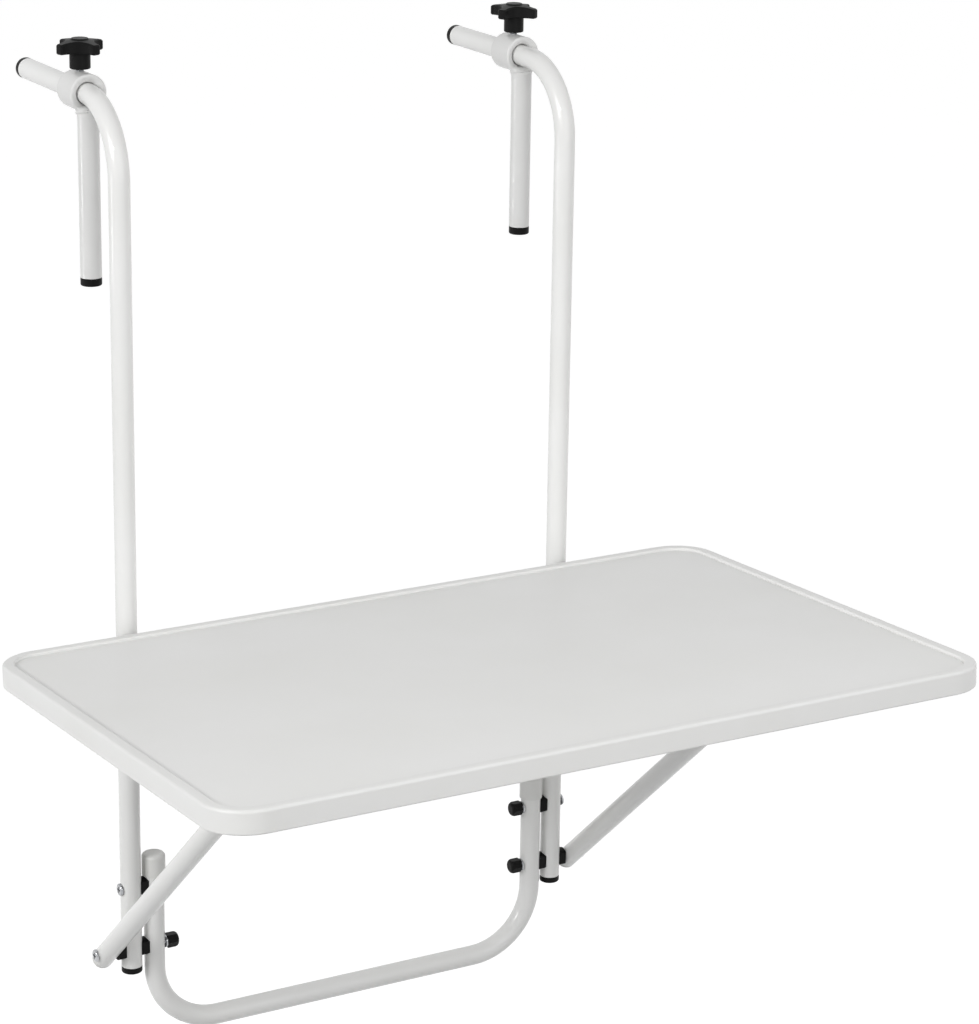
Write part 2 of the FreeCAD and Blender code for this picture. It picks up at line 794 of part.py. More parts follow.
def make_stud(side, sign, setback):
    """The steel screw that presses on the arm, half of it moulded into the knob."""
    stud = new_body(f"clamp_stud_{side}")
    tip = "arm_top_z + stud_tip_gap - hub_z"
    radius = "stud_diameter / 2"
    corners = [
        ("0", tip),
        (f"{radius} - 0.15 * stud_diameter", tip),
        (radius, f"{tip} + 0.15 * stud_diameter"),
        (radius, "stud_thread_depth"),
        ("0", "stud_thread_depth"),
    ]
    turned(stud, "screw", corners)
    place(stud, sign + "post_x", f"post_y + {setback} + stud_inset", "hub_z")
    return keep(stud)


def make_knob(side, sign, setback):
    """A four-lobed star grip over a round hub, its top falling from a crown to the tips."""
    knob = new_body(f"star_knob_{side}")
    hub = "hub_diameter / 2"
    grip = "grip_diameter / 2"
    crown = "grip_crown_diameter / 2"
    top = "hub_height + grip_height"
    bore = "stud_diameter / 2 + stud_clearance"
    depth = "stud_thread_depth + stud_clearance"
    corners = [
        (bore, "0"),
        (hub, "0"),
        (hub, "hub_height"),
        (grip, "hub_height"),
        (grip, "hub_height + grip_tip_height"),
        (crown, top),
        (f"{crown} - grip_crown_rise", f"{top} + grip_crown_rise"),
        ("0", f"{top} + grip_crown_rise"),
        ("0", depth),
        (bore, depth),
    ]
    turned(knob, "blank", corners)
    rounded(knob, "hub_rounding", lambda edge: circle_at(edge, 0, number(hub)))
    valley = new_sketch(knob, "valley", "XY_Plane")
    valley.setExpression("AttachmentOffset.Base.z", formula("hub_height"))
    draw_circle(valley, "valley_reach", "0", "valley_reach - grip_waist / 2")
    first = pocket(knob, valley, "2 * grip_height", flipped=True)
    star = knob.newObject("PartDesign::PolarPattern", "star")
    star.Originals = [first]
    star.Axis = (valley, ["N_Axis"])
    star.Angle = 360
    star.setExpression("Occurrences", formula("grip_lobes"))
    knob.Tip = star
    rim = number(grip)
    rounded(knob, "grip_tip_rounding", lambda edge: upright(edge) and reach_of(edge) > rim - 0.01)
    inside = number("(hub_diameter + grip_waist) / 4")
    chamfered(knob, "grip_edge", lambda edge: reach_of(edge) > inside and not upright(edge))
    turn = f"knob_turn_{side} * 1 deg"
    place(knob, sign + "post_x", f"post_y + {setback} + stud_inset", "hub_z", turn=turn)
    return keep(knob)


def upright(edge):
    return edge.BoundBox.XLength < 0.01 and edge.BoundBox.YLength < 0.01


def reach_of(edge):
    """How far from the knob's axis an edge starts."""
    start = edge.Vertexes[0].Point
    return (start.x ** 2 + start.y ** 2) ** 0.5


# Table top, in a frame of its own: the hinge axis is its origin, and the user's side is -Y

def place_on_top(piece, x="0"):
    """Put a piece that was made from the hinge axis into the tilted top."""
    place(piece, x, "post_y", "hinge_z", "tilt")


def draw_rounded_rectangle(sketch, inset):
    """The top's outline, taken in by an inset, with round corners."""
    side = f"(top_width / 2 - {inset})"
    rear = f"(-top_setback - {inset})"
    front = f"(-top_setback - top_depth + {inset})"
    corners = [
        (f"-{side}", rear),
        (side, rear),
        (side, front),
        (f"-{side}", front),
    ]
    draw_run(sketch, corners, f"top_corner_radius - {inset}", closed=True)


def screw_places():
    """Where the screws enter the board: at the hinge brackets and at the clips."""
    brackets = [(sign + "post_x", "-bracket_y") for sign in SIDES.values()]
    inner = "(bracket_front - bracket_y) / 2"
    brackets = [(x, f"{y} {way} {inner}") for x, y in brackets for way in ("+", "-")]
    clips = [(sign + "clip_spacing / 2", "clip_y") for sign in SIDES.values()]
    clips = [(x, f"{y} {way} flange_y") for x, y in clips for way in ("+", "-")]
    return brackets, clips


def make_board():
    """The board, rebated round its upper edge for the lip, with pilot holes below."""
    board = new_body("table_board")
    outline = new_sketch(board, "outline", "XY_Plane")
    outline.setExpression("AttachmentOffset.Base.z", formula("hinge_drop"))
    draw_rounded_rectangle(outline, "board_inset")
    pad(board, outline, "board_thickness - board_rebate")
    face = new_sketch(board, "face", "XY_Plane")
    top = "hinge_drop + board_thickness - board_rebate"
    face.setExpression("AttachmentOffset.Base.z", formula(top))
    draw_rounded_rectangle(face, "(edge_lip_width + board_gap)")
    pad(board, face, "board_rebate")
    pilots = new_sketch(board, "pilot_holes", "XY_Plane")
    pilots.setExpression("AttachmentOffset.Base.z", formula("hinge_drop"))
    brackets, clips = screw_places()
    for x, y in brackets + clips:
        draw_circle(pilots, x, y, "screw_diameter / 2 + bolt_clearance")
    pocket(board, pilots, "screw_length + seat_gap", flipped=True)
    place_on_top(board)
    return keep(board)


def make_edge():
    """The edge profile: a channel section swept round the board, with a proud lip."""
    edge = new_body("table_edge")
    path = new_sketch(edge, "outline", "XY_Plane")
    draw_rounded_rectangle(path, "0 * edge_wall")
    section = new_sketch(edge, "section", "YZ_Plane")
    rear = "(-top_setback)"
    wall = f"({rear} - edge_wall)"
    lip = f"({rear} - edge_lip_width)"
    corners = [
        (rear, "edge_bottom"),
        (rear, "edge_top"),
        (lip, "edge_top"),
        (lip, "edge_top - edge_lip"),
        (wall, "edge_top - edge_lip"),
        (wall, "edge_bottom + edge_lip"),
        (lip, "edge_bottom + edge_lip"),
        (lip, "edge_bottom"),
    ]
    draw_outline(section, corners)
    ring = edge.newObject("PartDesign::AdditivePipe", "channel")
    ring.Profile = section
    ring.Spine = (path, [])
    top = number("edge_top")
    rounded(edge, "edge_rounding", lambda rim: outer_rim(rim, top))
    bottom = number("edge_bottom")
    rounded(edge, "edge_rounding / 2", lambda rim: outer_rim(rim, bottom))
    place_on_top(edge)
    return keep(edge)


def outer_rim(edge, height):
    """Whether an edge lies on the top's outer outline at a height."""
    box = edge.BoundBox
    if box.ZLength > 0.01 or abs(box.ZMin - height) > 0.01:
        return False
    half = number("top_width / 2")
    rear = number("-top_setback")
    front = number("-top_setback - top_depth")
    corner = number("top_corner_radius")
    if isinstance(edge.Curve, Part.Circle):
        return abs(edge.Curve.Radius - corner) < 0.01
    sides = (abs(box.XMax - half), abs(box.XMin + half), abs(box.YMax - rear))
    return min(*sides, abs(box.YMin - front)) < 0.01


# Hinge brackets, bolts and screws

def make_bracket(side, sign):
    """A bent steel clevis: a web screwed under the board and an ear each side of the post."""
    bracket = new_body(f"hinge_bracket_{side}")
    ear = new_sketch(bracket, "ear", "YZ_Plane")
    nose = "bracket_nose_radius"
    shoulder = "edge_bottom - moving_gap"
    corners = [
        (nose, "0"),
        (nose, "bracket_nose_radius / 2"),
        ("bracket_nose_radius / 2", nose),
        ("-bracket_nose_radius / 2", shoulder),
        ("-bracket_rear", shoulder),
        ("-bracket_rear", "hinge_drop - seat_gap"),
        ("-bracket_front", "hinge_drop - seat_gap"),
        ("-bracket_front", "hinge_drop - bracket_lip"),
        ("-bracket_nose_radius", "-" + nose),
        ("bracket_nose_radius / 2", "-" + nose),
        (nose, "-bracket_nose_radius / 2"),
    ]
    draw_outline(ear, corners)
    pad(bracket, ear, "2 * (bracket_half + bracket_sheet)", centred=True)
    hollow = new_sketch(bracket, "between_ears", "YZ_Plane")
    ceiling = "hinge_drop - seat_gap - bracket_sheet"
    corners = [
        ("2 * bracket_nose_radius", ceiling),
        ("-bracket_front - bracket_nose_radius", ceiling),
        ("-bracket_front - bracket_nose_radius", "-2 * bracket_nose_radius"),
        ("2 * bracket_nose_radius", "-2 * bracket_nose_radius"),
    ]
    draw_outline(hollow, corners)
    pocket(bracket, hollow, "2 * bracket_half", centred=True)
    clear_web_behind(bracket)
    hinge_radius = "hinge_bolt_diameter / 2 + pivot_clearance"
    cross_hole(bracket, [("0", "0")], hinge_radius)
    web = new_sketch(bracket, "screw_holes", "XY_Plane")
    inner = "(bracket_front - bracket_y) / 2"
    for way in ("+", "-"):
        draw_circle(web, "0", f"-bracket_y {way} {inner}", "screw_diameter / 2 + moving_gap")
    pocket(bracket, web, centred=True)
    place_on_top(bracket, sign + "post_x")
    return keep(bracket)


def clear_web_behind(bracket):
    """Take away what is left of the web behind its rear edge, so that the post is clear."""
    rear = new_sketch(bracket, "behind_web", "YZ_Plane")
    low = "-2 * bracket_nose_radius"
    corners = [
        ("2 * bracket_nose_radius", low),
        ("2 * bracket_nose_radius", "2 * hinge_drop"),
        ("-bracket_rear", "2 * hinge_drop"),
        ("-bracket_rear", low),
    ]
    draw_outline(rear, corners)
    before = volume_of(bracket)
    feature = bracket.newObject("PartDesign::Pocket", "Pocket")
    feature.Profile = rear
    feature.Midplane = True
    feature.setExpression("Length", formula("2 * bracket_half"))
    if volume_of(bracket) > before + 0.01:
        raise RuntimeError("the hinge bracket grew behind its web")


def make_hinge_bolts():
    """The bolts that the top swings on, one through each post."""
    bolt = new_body("hinge_bolt_right")
    ear = "(bracket_half + bracket_sheet + moving_gap)"
    shank = "hinge_bolt_diameter / 2"
    head = "hinge_head_diameter / 2"
    corners = [
        (f"-{ear} - hinge_nut_height - hinge_bolt_diameter / 4", "0"),
        (f"-{ear} - hinge_nut_height - hinge_bolt_diameter / 4", shank),
        (ear, shank),
        (ear, head),
        (f"{ear} + hinge_head_height", head),
        (f"{ear} + hinge_head_height", "0"),
    ]
    turned(bolt, "bolt", corners, "H_Axis")
    crown = number(f"{ear} + hinge_head_height")
    rim = number(head)
    rounded(bolt, "hinge_head_height / 2", lambda edge: circle_at(edge, crown, rim, ALONG_X))
    place(bolt, "post_x", "post_y", "hinge_z")
    keep(both_sides("hinge_bolts", bolt))
    bore = "hinge_bolt_diameter / 2 + bolt_clearance"
    nut = hexagon("hinge_nut_right", "hinge_nut_width", "hinge_nut_height", bore,
                  f"post_x - {ear}", "post_y", "hinge_z")
    keep(both_sides("hinge_nuts", nut))


def make_screws(label, centres, face):
    """Pan-head screws driven up into the board at the given centres."""
    screw = new_body(label + "_one")
    shank = "screw_diameter / 2"
    head = "screw_head_diameter / 2"
    corners = [
        ("0", f"{face} - screw_head_height"),
        (head, f"{face} - screw_head_height"),
        (head, face),
        (shank, face),
        (shank, "hinge_drop + screw_length - screw_diameter / 2"),
        ("0", "hinge_drop + screw_length"),
    ]
    turned(screw, "screw", corners)
    bottom = number(f"{face} - screw_head_height")
    rim = number(head)
    rounded(screw, "screw_head_height / 2", lambda edge: circle_at(edge, bottom, rim))
    doc.recompute()
    copies = doc.addObject("Part::Feature", label)
    copies.Label = label
    solids = []
    for x, y in centres:
        solid = screw.Shape.copy()
        solid.translate(Vector(number(x), number(y), 0))
        solids.append(solid)
    copies.Shape = Part.makeCompound(solids)
    place_on_top(copies)
    return keep(copies)


# Support bail and its clips

def make_bail():
    """A U-shaped tube that turns on the pivot bolts and props the top from below."""
    bail = new_body("support_bail")
    reach = "-bail_length - bail_tail"
    corners = [("0", "0"), ("0", reach), ("2 * bail_x", reach), ("2 * bail_x", "0")]
    swept_tube(bail, corners, "bail_bend_radius", "XY_Plane", "XZ_Plane")
    cross_hole(bail, [("-bail_tail", "0")], "bolt_diameter / 2 + pivot_clearance")
    tail_y = "post_y + bail_tail * cos(bail_angle)"
    tail_z = "pivot_z - bail_tail * sin(bail_angle)"
    place(bail, "-bail_x", tail_y, tail_z, "bail_angle")
    for side, sign in SIDES.items():
        dome = "tube_radius - 2 * seat_gap"
        plug = make_plug(f"bail_cap_{side}", "bail_cap_head", dome, "bail_plug")
        turn = FreeCAD.Rotation(ALONG_X, 90 - number("bail_angle"))
        plug.Placement = FreeCAD.Placement(Vector(), turn)
        plug.setExpression("Placement.Rotation.Angle", formula("90 * 1 deg - bail_angle"))
        gap_y = "seat_gap * cos(bail_angle)"
        gap_z = "seat_gap * sin(bail_angle)"
        place(plug, sign + "bail_x", f"{tail_y} + {gap_y}", f"{tail_z} - {gap_z}")
    return keep(bail)


def make_clip(side, sign):
    """A plastic snap clip: a jaw round the bail's cross tube under a screwed flange."""
    clip = new_body(f"bail_clip_{side}")
    jaw = new_sketch(clip, "jaw", "YZ_Plane")
    draw_circle(jaw, "clip_y", "clip_height", "clip_bore + clip_wall")
    pad(clip, jaw, "clip_width", centred=True)
    flange = new_sketch(clip, "flange", "YZ_Plane")
    reach = "(clip_bore + clip_wall + clip_flange)"
    ceiling = "hinge_drop - seat_gap"
    corners = [
        (f"clip_y + {reach}", ceiling),
        (f"clip_y - {reach}", ceiling),
        (f"clip_y - {reach}", "hinge_drop - clip_base"),
        (f"clip_y + {reach}", "hinge_drop - clip_base"),
    ]
    draw_outline(flange, corners)
    pad(clip, flange, "clip_width", centred=True)
    top = new_sketch(clip, "above_flange", "YZ_Plane")
    high = "hinge_drop + clip_bore + clip_wall"
    corners = [
        (f"clip_y + {reach}", ceiling),
        (f"clip_y - {reach}", ceiling),
        (f"clip_y - {reach}", high),
        (f"clip_y + {reach}", high),
    ]
    draw_outline(top, corners)
    pocket(clip, top, "2 * clip_width", centred=True)
    bore = new_sketch(clip, "bore", "YZ_Plane")
    draw_circle(bore, "clip_y", "clip_height", "clip_bore")
    pocket(clip, bore, centred=True)
    mouth = new_sketch(clip, "mouth", "YZ_Plane")
    low = "clip_height - 2 * clip_bore"
    corners = [
        ("clip_y - clip_mouth / 2", "clip_height"),
        ("clip_y + clip_mouth / 2", "clip_height"),
        ("clip_y + clip_mouth / 2", low),
        ("clip_y - clip_mouth / 2", low),
    ]
    draw_outline(mouth, corners)
    pocket(clip, mouth, centred=True)
    holes = new_sketch(clip, "screw_holes", "XY_Plane")
    for way in ("+", "-"):
        draw_circle(holes, "0", f"clip_y {way} flange_y", "screw_diameter / 2 + moving_gap")
    pocket(clip, holes, centred=True)
    place_on_top(clip, sign + "clip_spacing / 2")
    return keep(clip)


def build():
    """Make every piece, in the order in which the table goes together."""
    for side, sign in SIDES.items():
        make_post(side, sign)
        make_post_caps(side, sign)
        make_slip_cap(side, sign)
    make_foot_frame()
    make_bolt("upper_bolts", "upper_reach", "upper_z")
    make_bolt("pivot_bolts", "pivot_reach", "pivot_z")
    make_inner_spacers()
    make_pivot_spacers()
    make_washers()
    make_nuts()
    make_nut_caps()
    for side, sign in SIDES.items():
        setback = f"clamp_setback_{side}"
        make_collar(side, sign, setback)
        make_hook(side, sign, setback)
        make_stud(side, sign, setback)
        make_knob(side, sign, setback)
    make_board()
    make_edge()
    for side, sign in SIDES.items():
        make_bracket(side, sign)
        make_clip(side, sign)
    make_hinge_bolts()
    bracket_centres, clip_centres = screw_places()
    bracket_face = "hinge_drop - 2 * seat_gap - bracket_sheet"
    clip_face = "hinge_drop - clip_base - seat_gap"
    make_screws("bracket_screws", bracket_centres, bracket_face)
    make_screws("clip_screws", clip_centres, clip_face)
    make_bail()


def check_and_write():
    """Stop on any failed object or bad shape, then write one STEP file for each piece."""
    doc.recompute()
    for item in doc.Objects:
        if "Invalid" in item.State or "Error" in item.State:
            raise RuntimeError(f"{item.Label} failed: {item.State}")
    os.makedirs("parts", exist_ok=True)
    for piece in NODES:
        shape = piece.Shape
        if shape.isNull() or not shape.isValid() or not shape.Solids:
            raise RuntimeError(f"{piece.Label} has no valid solid")
        shape.exportStep(f"parts/{piece.Label}.step")
        print(piece.Label, len(shape.Solids), "solid(s),", round(shape.Volume), "mm3")


build()
check_and_write()
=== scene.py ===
"""Balcony railing bar table: the finishes, small made details, studio and camera.

Metres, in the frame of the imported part: +X runs along the railing, +Y points away from the
user and +Z is up. The origin is where the railing's top edge sits.
"""

import logging
import math
from dataclasses import dataclass, field, replace
from enum import Enum
from typing import Any, Iterable, Sequence

import bmesh
import bpy
from bpy.types import ID, Material, Mesh, Node, NodeSocket, NodeTree, Object
from mathutils import Matrix, Vector

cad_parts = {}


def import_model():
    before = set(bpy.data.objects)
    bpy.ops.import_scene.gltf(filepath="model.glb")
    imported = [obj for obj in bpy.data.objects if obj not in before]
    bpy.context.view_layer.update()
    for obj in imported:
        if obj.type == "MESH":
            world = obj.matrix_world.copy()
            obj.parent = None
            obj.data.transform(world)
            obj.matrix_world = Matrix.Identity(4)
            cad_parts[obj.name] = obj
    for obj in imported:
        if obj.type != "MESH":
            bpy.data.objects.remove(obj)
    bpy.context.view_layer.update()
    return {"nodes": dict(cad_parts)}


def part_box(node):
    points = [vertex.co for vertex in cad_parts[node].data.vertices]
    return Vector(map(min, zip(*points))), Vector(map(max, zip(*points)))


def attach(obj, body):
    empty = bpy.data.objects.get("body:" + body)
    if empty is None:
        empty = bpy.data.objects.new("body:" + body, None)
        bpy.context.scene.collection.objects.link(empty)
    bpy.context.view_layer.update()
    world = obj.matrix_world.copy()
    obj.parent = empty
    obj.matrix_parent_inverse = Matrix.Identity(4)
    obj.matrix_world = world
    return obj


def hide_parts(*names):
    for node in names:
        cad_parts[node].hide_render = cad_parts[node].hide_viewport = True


LOG = logging.getLogger("railing_table")
MILLIMETRE = 0.001
QUARTER_TURN = math.pi / 2
WHITE = "#FFFFFF"
# The sRGB curve: a straight foot up to a knee, and a power above it.
SRGB_KNEE, SRGB_SLOPE, SRGB_OFFSET, SRGB_POWER = 0.04045, 12.92, 0.055, 2.4
# The middle of a noise pattern's values, where nearly all of them lie.
NOISE_LOW, NOISE_HIGH = 0.3, 0.7
# The width of the wave texture's bands at a scale of 1.
WAVE_BAND = 0.314


class Side(Enum):
    """The two ends of the table, and the sign of X at each."""

    LEFT = -1
    RIGHT = 1

    @property
    def word(self) -> str:
        """The side's name as it stands in node and body names."""
        return self.name.lower()


def mm(length: float) -> float:
    """Turns millimetres into metres."""
    return length * MILLIMETRE


def linear(colour: str) -> tuple[float, float, float, float]:
    """Turns an sRGB hex colour into linear RGBA.

    Args:
        colour: six hex digits after a hash sign.

    Returns:
        Linear red, green and blue, and full opacity.
    """
    levels = []
    for start in (1, 3, 5):
        level = int(colour[start : start + 2], 16) / 255
        if level <= SRGB_KNEE:
            levels.append(level / SRGB_SLOPE)
        else:
            levels.append(((level + SRGB_OFFSET) / (1 + SRGB_OFFSET)) ** SRGB_POWER)
    return levels[0], levels[1], levels[2], 1.0


def add_node(
    tree: NodeTree,
    kind: str,
    settings: dict[str, Any] | None = None,
    inputs: dict[Any, Any] | None = None,
) -> Node:
    """Adds a node, with its settings, its values and its links.

    Args:
        tree: the node tree.
        kind: the node's type name.
        settings: the node's properties by name.
        inputs: values or output sockets, by input name or number.

    Returns:
        The new node.
    """
    node = tree.nodes.new(kind)
    for name, value in (settings or {}).items():
        setattr(node, name, value)
    for key, value in (inputs or {}).items():
        if isinstance(value, NodeSocket):
            tree.links.new(value, node.inputs[key])
        else:
            node.inputs[key].default_value = value
    return node


def bare_tree(owner: ID) -> NodeTree:
    """Switches on the nodes of a material or a world, and empties them.

    Args:
        owner: the material or world.

    Returns:
        Its empty node tree.
    """
    owner.use_nodes = True
    owner.node_tree.nodes.clear()
    return owner.node_tree


def add_object(name: str, data: ID) -> Object:
    """Adds an object to the scene, at the origin.

    Args:
        name: the object's name.
        data: its mesh, lamp or camera.

    Returns:
        The object.
    """
    added = bpy.data.objects.new(name, data)
    bpy.context.scene.collection.objects.link(added)
    return added


# ---------------------------------------------------------------- finishes


@dataclass(frozen=True)
class Finish:
    """A surface finish: what the material is, and how its surface was made.

    The pattern sizes are real ones in millimetres, unless the comment beside a value says that
    it is drawn coarser so that it shows.
    """

    name: str
    slot: str
    colour: str
    shade: str
    roughness: float
    roughness_spread: float
    ior: float
    mottle_mm: float
    grain_mm: float
    grain_height_mm: float
    metallic: float = 0.0
    coat: float = 0.0
    coat_roughness: float = 0.1
    specular: float = 0.5
    wear_mm: float = 60.0
    mottle_detail: float = 3.0
    wear_detail: float = 5.0
    grain_detail: float = 2.0

    def build(self) -> Material:
        """Builds the finish as a node material.

        Returns:
            The material.
        """
        material = bpy.data.materials.new(self.name)
        tree = bare_tree(material)
        place = add_node(tree, "ShaderNodeTexCoord").outputs["Object"]
        shader = add_node(
            tree,
            "ShaderNodeBsdfPrincipled",
            inputs={
                "Metallic": self.metallic,
                "IOR": self.ior,
                "Specular IOR Level": self.specular,
                "Coat Weight": self.coat,
                "Coat Roughness": self.coat_roughness,
                "Base Color": self.tint(tree, place),
                "Roughness": self.polish(tree, place),
                "Normal": self.relief(tree, place),
            },
        )
        add_node(tree, "ShaderNodeOutputMaterial", inputs={"Surface": shader.outputs["BSDF"]})
        material.diffuse_color = linear(self.colour)
        return material

    def noise(
        self, tree: NodeTree, place: NodeSocket, size_mm: float, detail: float
    ) -> NodeSocket:
        """Adds a noise pattern with cells of a real size.

        Args:
            tree: the node tree.
            place: the coordinates.
            size_mm: the cells' size.
            detail: how many finer layers it has.

        Returns:
            The pattern's value, from 0 to 1.
        """
        pattern = add_node(
            tree,
            "ShaderNodeTexNoise",
            inputs={"Vector": place, "Scale": 1 / mm(size_mm), "Detail": detail},
        )
        return pattern.outputs["Fac"]

    def tint(self, tree: NodeTree, place: NodeSocket) -> NodeSocket:
        """Lets the colour drift a little between two close shades.

        Args:
            tree: the node tree.
            place: the coordinates.

        Returns:
            The colour.
        """
        cloud = self.noise(tree, place, self.mottle_mm, self.mottle_detail)
        ramp = add_node(
            tree,
            "ShaderNodeMapRange",
            inputs={"Value": cloud, "From Min": NOISE_LOW, "From Max": NOISE_HIGH},
        )
        # A colour mix takes its two colours at inputs 6 and 7, and gives its own at output 2.
        mixed = add_node(
            tree,
            "ShaderNodeMix",
            {"data_type": "RGBA"},
            {"Factor": ramp.outputs["Result"], 6: linear(self.shade), 7: linear(self.colour)},
        )
        return mixed.outputs[2]

    def polish(self, tree: NodeTree, place: NodeSocket) -> NodeSocket:
        """Lets the gloss vary where the surface has been handled and wiped.

        Args:
            tree: the node tree.
            place: the coordinates.

        Returns:
            The roughness.
        """
        smears = self.noise(tree, place, self.wear_mm, self.wear_detail)
        spread = add_node(
            tree,
            "ShaderNodeMapRange",
            inputs={
                "Value": smears,
                "From Min": NOISE_LOW,
                "From Max": NOISE_HIGH,
                "To Min": self.roughness - self.roughness_spread,
                "To Max": self.roughness + self.roughness_spread,
            },
        )
        return spread.outputs["Result"]

    def relief(self, tree: NodeTree, place: NodeSocket) -> NodeSocket:
        """Raises the surface's own grain.

        Args:
            tree: the node tree.
            place: the coordinates.

        Returns:
            The surface's direction.
        """
        grain = self.noise(tree, place, self.grain_mm, self.grain_detail)
        bump = add_node(
            tree,
            "ShaderNodeBump",
            inputs={"Strength": 1.0, "Distance": mm(self.grain_height_mm), "Height": grain},
        )
        return bump.outputs["Normal"]


@dataclass(frozen=True)
class GrainedPlastic(Finish):
    """Moulded plastic whose mould was etched: small rounded cells with fine valleys."""

    cell_softness: float = 0.6

    def relief(self, tree: NodeTree, place: NodeSocket) -> NodeSocket:
        """Raises the etched cells of the mould.

        Args:
            tree: the node tree.
            place: the coordinates.

        Returns:
            The surface's direction.
        """
        cells = add_node(
            tree,
            "ShaderNodeTexVoronoi",
            {"feature": "SMOOTH_F1"},
            {
                "Vector": place,
                "Scale": 1 / mm(self.grain_mm),
                "Smoothness": self.cell_softness,
            },
        )
        bump = add_node(
            tree,
            "ShaderNodeBump",
            {"invert": True},
            {
                "Strength": 1.0,
                "Distance": mm(self.grain_height_mm),
                "Height": cells.outputs["Distance"],
            },
        )
        return bump.outputs["Normal"]


@dataclass(frozen=True)
class PlatedSteel(Finish):
    """Zinc plate over turned steel: bright, with faint rings left by the turning."""

    ring_mm: float = 0.5
    ring_height_mm: float = 0.01
    ring_strength: float = 0.5
    ring_wobble: float = 1.5
    ring_detail: float = 1.0

    def relief(self, tree: NodeTree, place: NodeSocket) -> NodeSocket:
        """Adds the turning marks to the plate's own grain.

        Args:
            tree: the node tree.
            place: the coordinates.

        Returns:
            The surface's direction.
        """
        grain = super().relief(tree, place)
        rings = add_node(
            tree,
            "ShaderNodeTexWave",
            {"bands_direction": "X"},
            {
                "Vector": place,
                "Scale": WAVE_BAND / mm(self.ring_mm),
                "Distortion": self.ring_wobble,
                "Detail": self.ring_detail,
            },
        )
        bump = add_node(
            tree,
            "ShaderNodeBump",
            inputs={
                "Strength": self.ring_strength,
                "Distance": mm(self.ring_height_mm),
                "Height": rings.outputs["Fac"],
                "Normal": grain,
            },
        )
        return bump.outputs["Normal"]


# Steel tube with a baked polyester powder coat: glossy, with the soft ripple called orange
# peel. The real ripple is about 1.5 mm across. It is drawn at 4 mm, so that it shows.
POWDER_COAT = Finish(
    name="powder_coated_steel",
    slot="white_steel",
    colour="#EAEAE9",
    shade="#E6E6E4",
    roughness=0.34,
    roughness_spread=0.04,
    ior=1.5,
    mottle_mm=90,
    grain_mm=4.0,
    grain_height_mm=0.02,
    coat=0.5,
    coat_roughness=0.06,
    specular=0.2,
)
# The frame's powder coat on the clamps, in a colour a shade greyer than the frame's: the grey
# is painted shade, for the shade that falls on the clamps behind the posts and arms.
SHADE_DARKENED_CLAMP_COAT = replace(
    POWDER_COAT,
    name="powder_coated_clamp_steel_with_painted_shade",
    colour="#DDDDDC",
    shade="#D8D8D7",
    mottle_mm=60,
)
# Particle board faced with white melamine paper: satin, with a fine pearl texture from the
# press plate. The pearl is about 0.8 mm across. It is drawn at 2.5 mm, so that it shows.
MELAMINE = Finish(
    name="melamine_faced_board",
    slot="board",
    colour="#ECECEB",
    shade="#E9E9E7",
    roughness=0.42,
    roughness_spread=0.05,
    ior=1.5,
    mottle_mm=140,
    grain_mm=2.5,
    grain_height_mm=0.03,
    specular=0.25,
)
# Extruded ABS edge profile: smooth and a little glossier than the board, with faint waves
# from the die, about 6 mm apart.
EDGE_ABS = Finish(
    name="extruded_abs_edge",
    slot="edge_plastic",
    colour="#E7E7E6",
    shade="#E4E4E2",
    roughness=0.35,
    roughness_spread=0.05,
    ior=1.54,
    mottle_mm=80,
    grain_mm=6.0,
    grain_height_mm=0.02,
    specular=0.3,
)
# Injection moulded polyethylene: white, slightly waxy, with a satin skin.
WHITE_POLYETHYLENE = Finish(
    name="moulded_white_polyethylene",
    slot="white_plastic",
    colour="#E0E0DE",
    shade="#DBDBD8",
    roughness=0.38,
    roughness_spread=0.05,
    ior=1.51,
    mottle_mm=40,
    grain_mm=1.5,
    grain_height_mm=0.02,
    specular=0.3,
)
# Injection moulded nylon: black, from an etched mould, with duller and shinier patches.
BLACK_NYLON = GrainedPlastic(
    name="moulded_black_nylon",
    slot="black_plastic",
    colour="#131313",
    shade="#0E0E0E",
    roughness=0.42,
    roughness_spread=0.08,
    ior=1.53,
    mottle_mm=18,
    grain_mm=0.6,
    grain_height_mm=0.025,
    specular=0.08,
)
# Steel fasteners with bright zinc plate: shiny, with a slightly cloudy blue-white tone.
ZINC_PLATE = PlatedSteel(
    name="zinc_plated_steel",
    slot="bright_steel",
    colour="#B7B8BA",
    shade="#A2A4A7",
    roughness=0.19,
    roughness_spread=0.06,
    ior=1.5,
    mottle_mm=6,
    grain_mm=0.7,
    grain_height_mm=0.01,
    metallic=1.0,
)


@dataclass
class Paintwork:
    """Keeps each finish's material, and gives it to pieces and carried-over nodes."""

    made: dict[str, Material] = field(default_factory=dict)

    def material(self, finish: Finish) -> Material:
        """Finds the finish's material, and builds it the first time.

        Args:
            finish: the finish.

        Returns:
            Its material.
        """
        if finish.name not in self.made:
            self.made[finish.name] = finish.build()
        return self.made[finish.name]

    def coat(self, piece: Object, finish: Finish) -> None:
        """Puts the finish in every material slot of a piece.

        Args:
            piece: the mesh object.
            finish: its finish.
        """
        if not piece.material_slots:
            piece.data.materials.append(None)
        for slot in piece.material_slots:
            slot.material = self.material(finish)


# ---------------------------------------------------- shapes that follow a rule


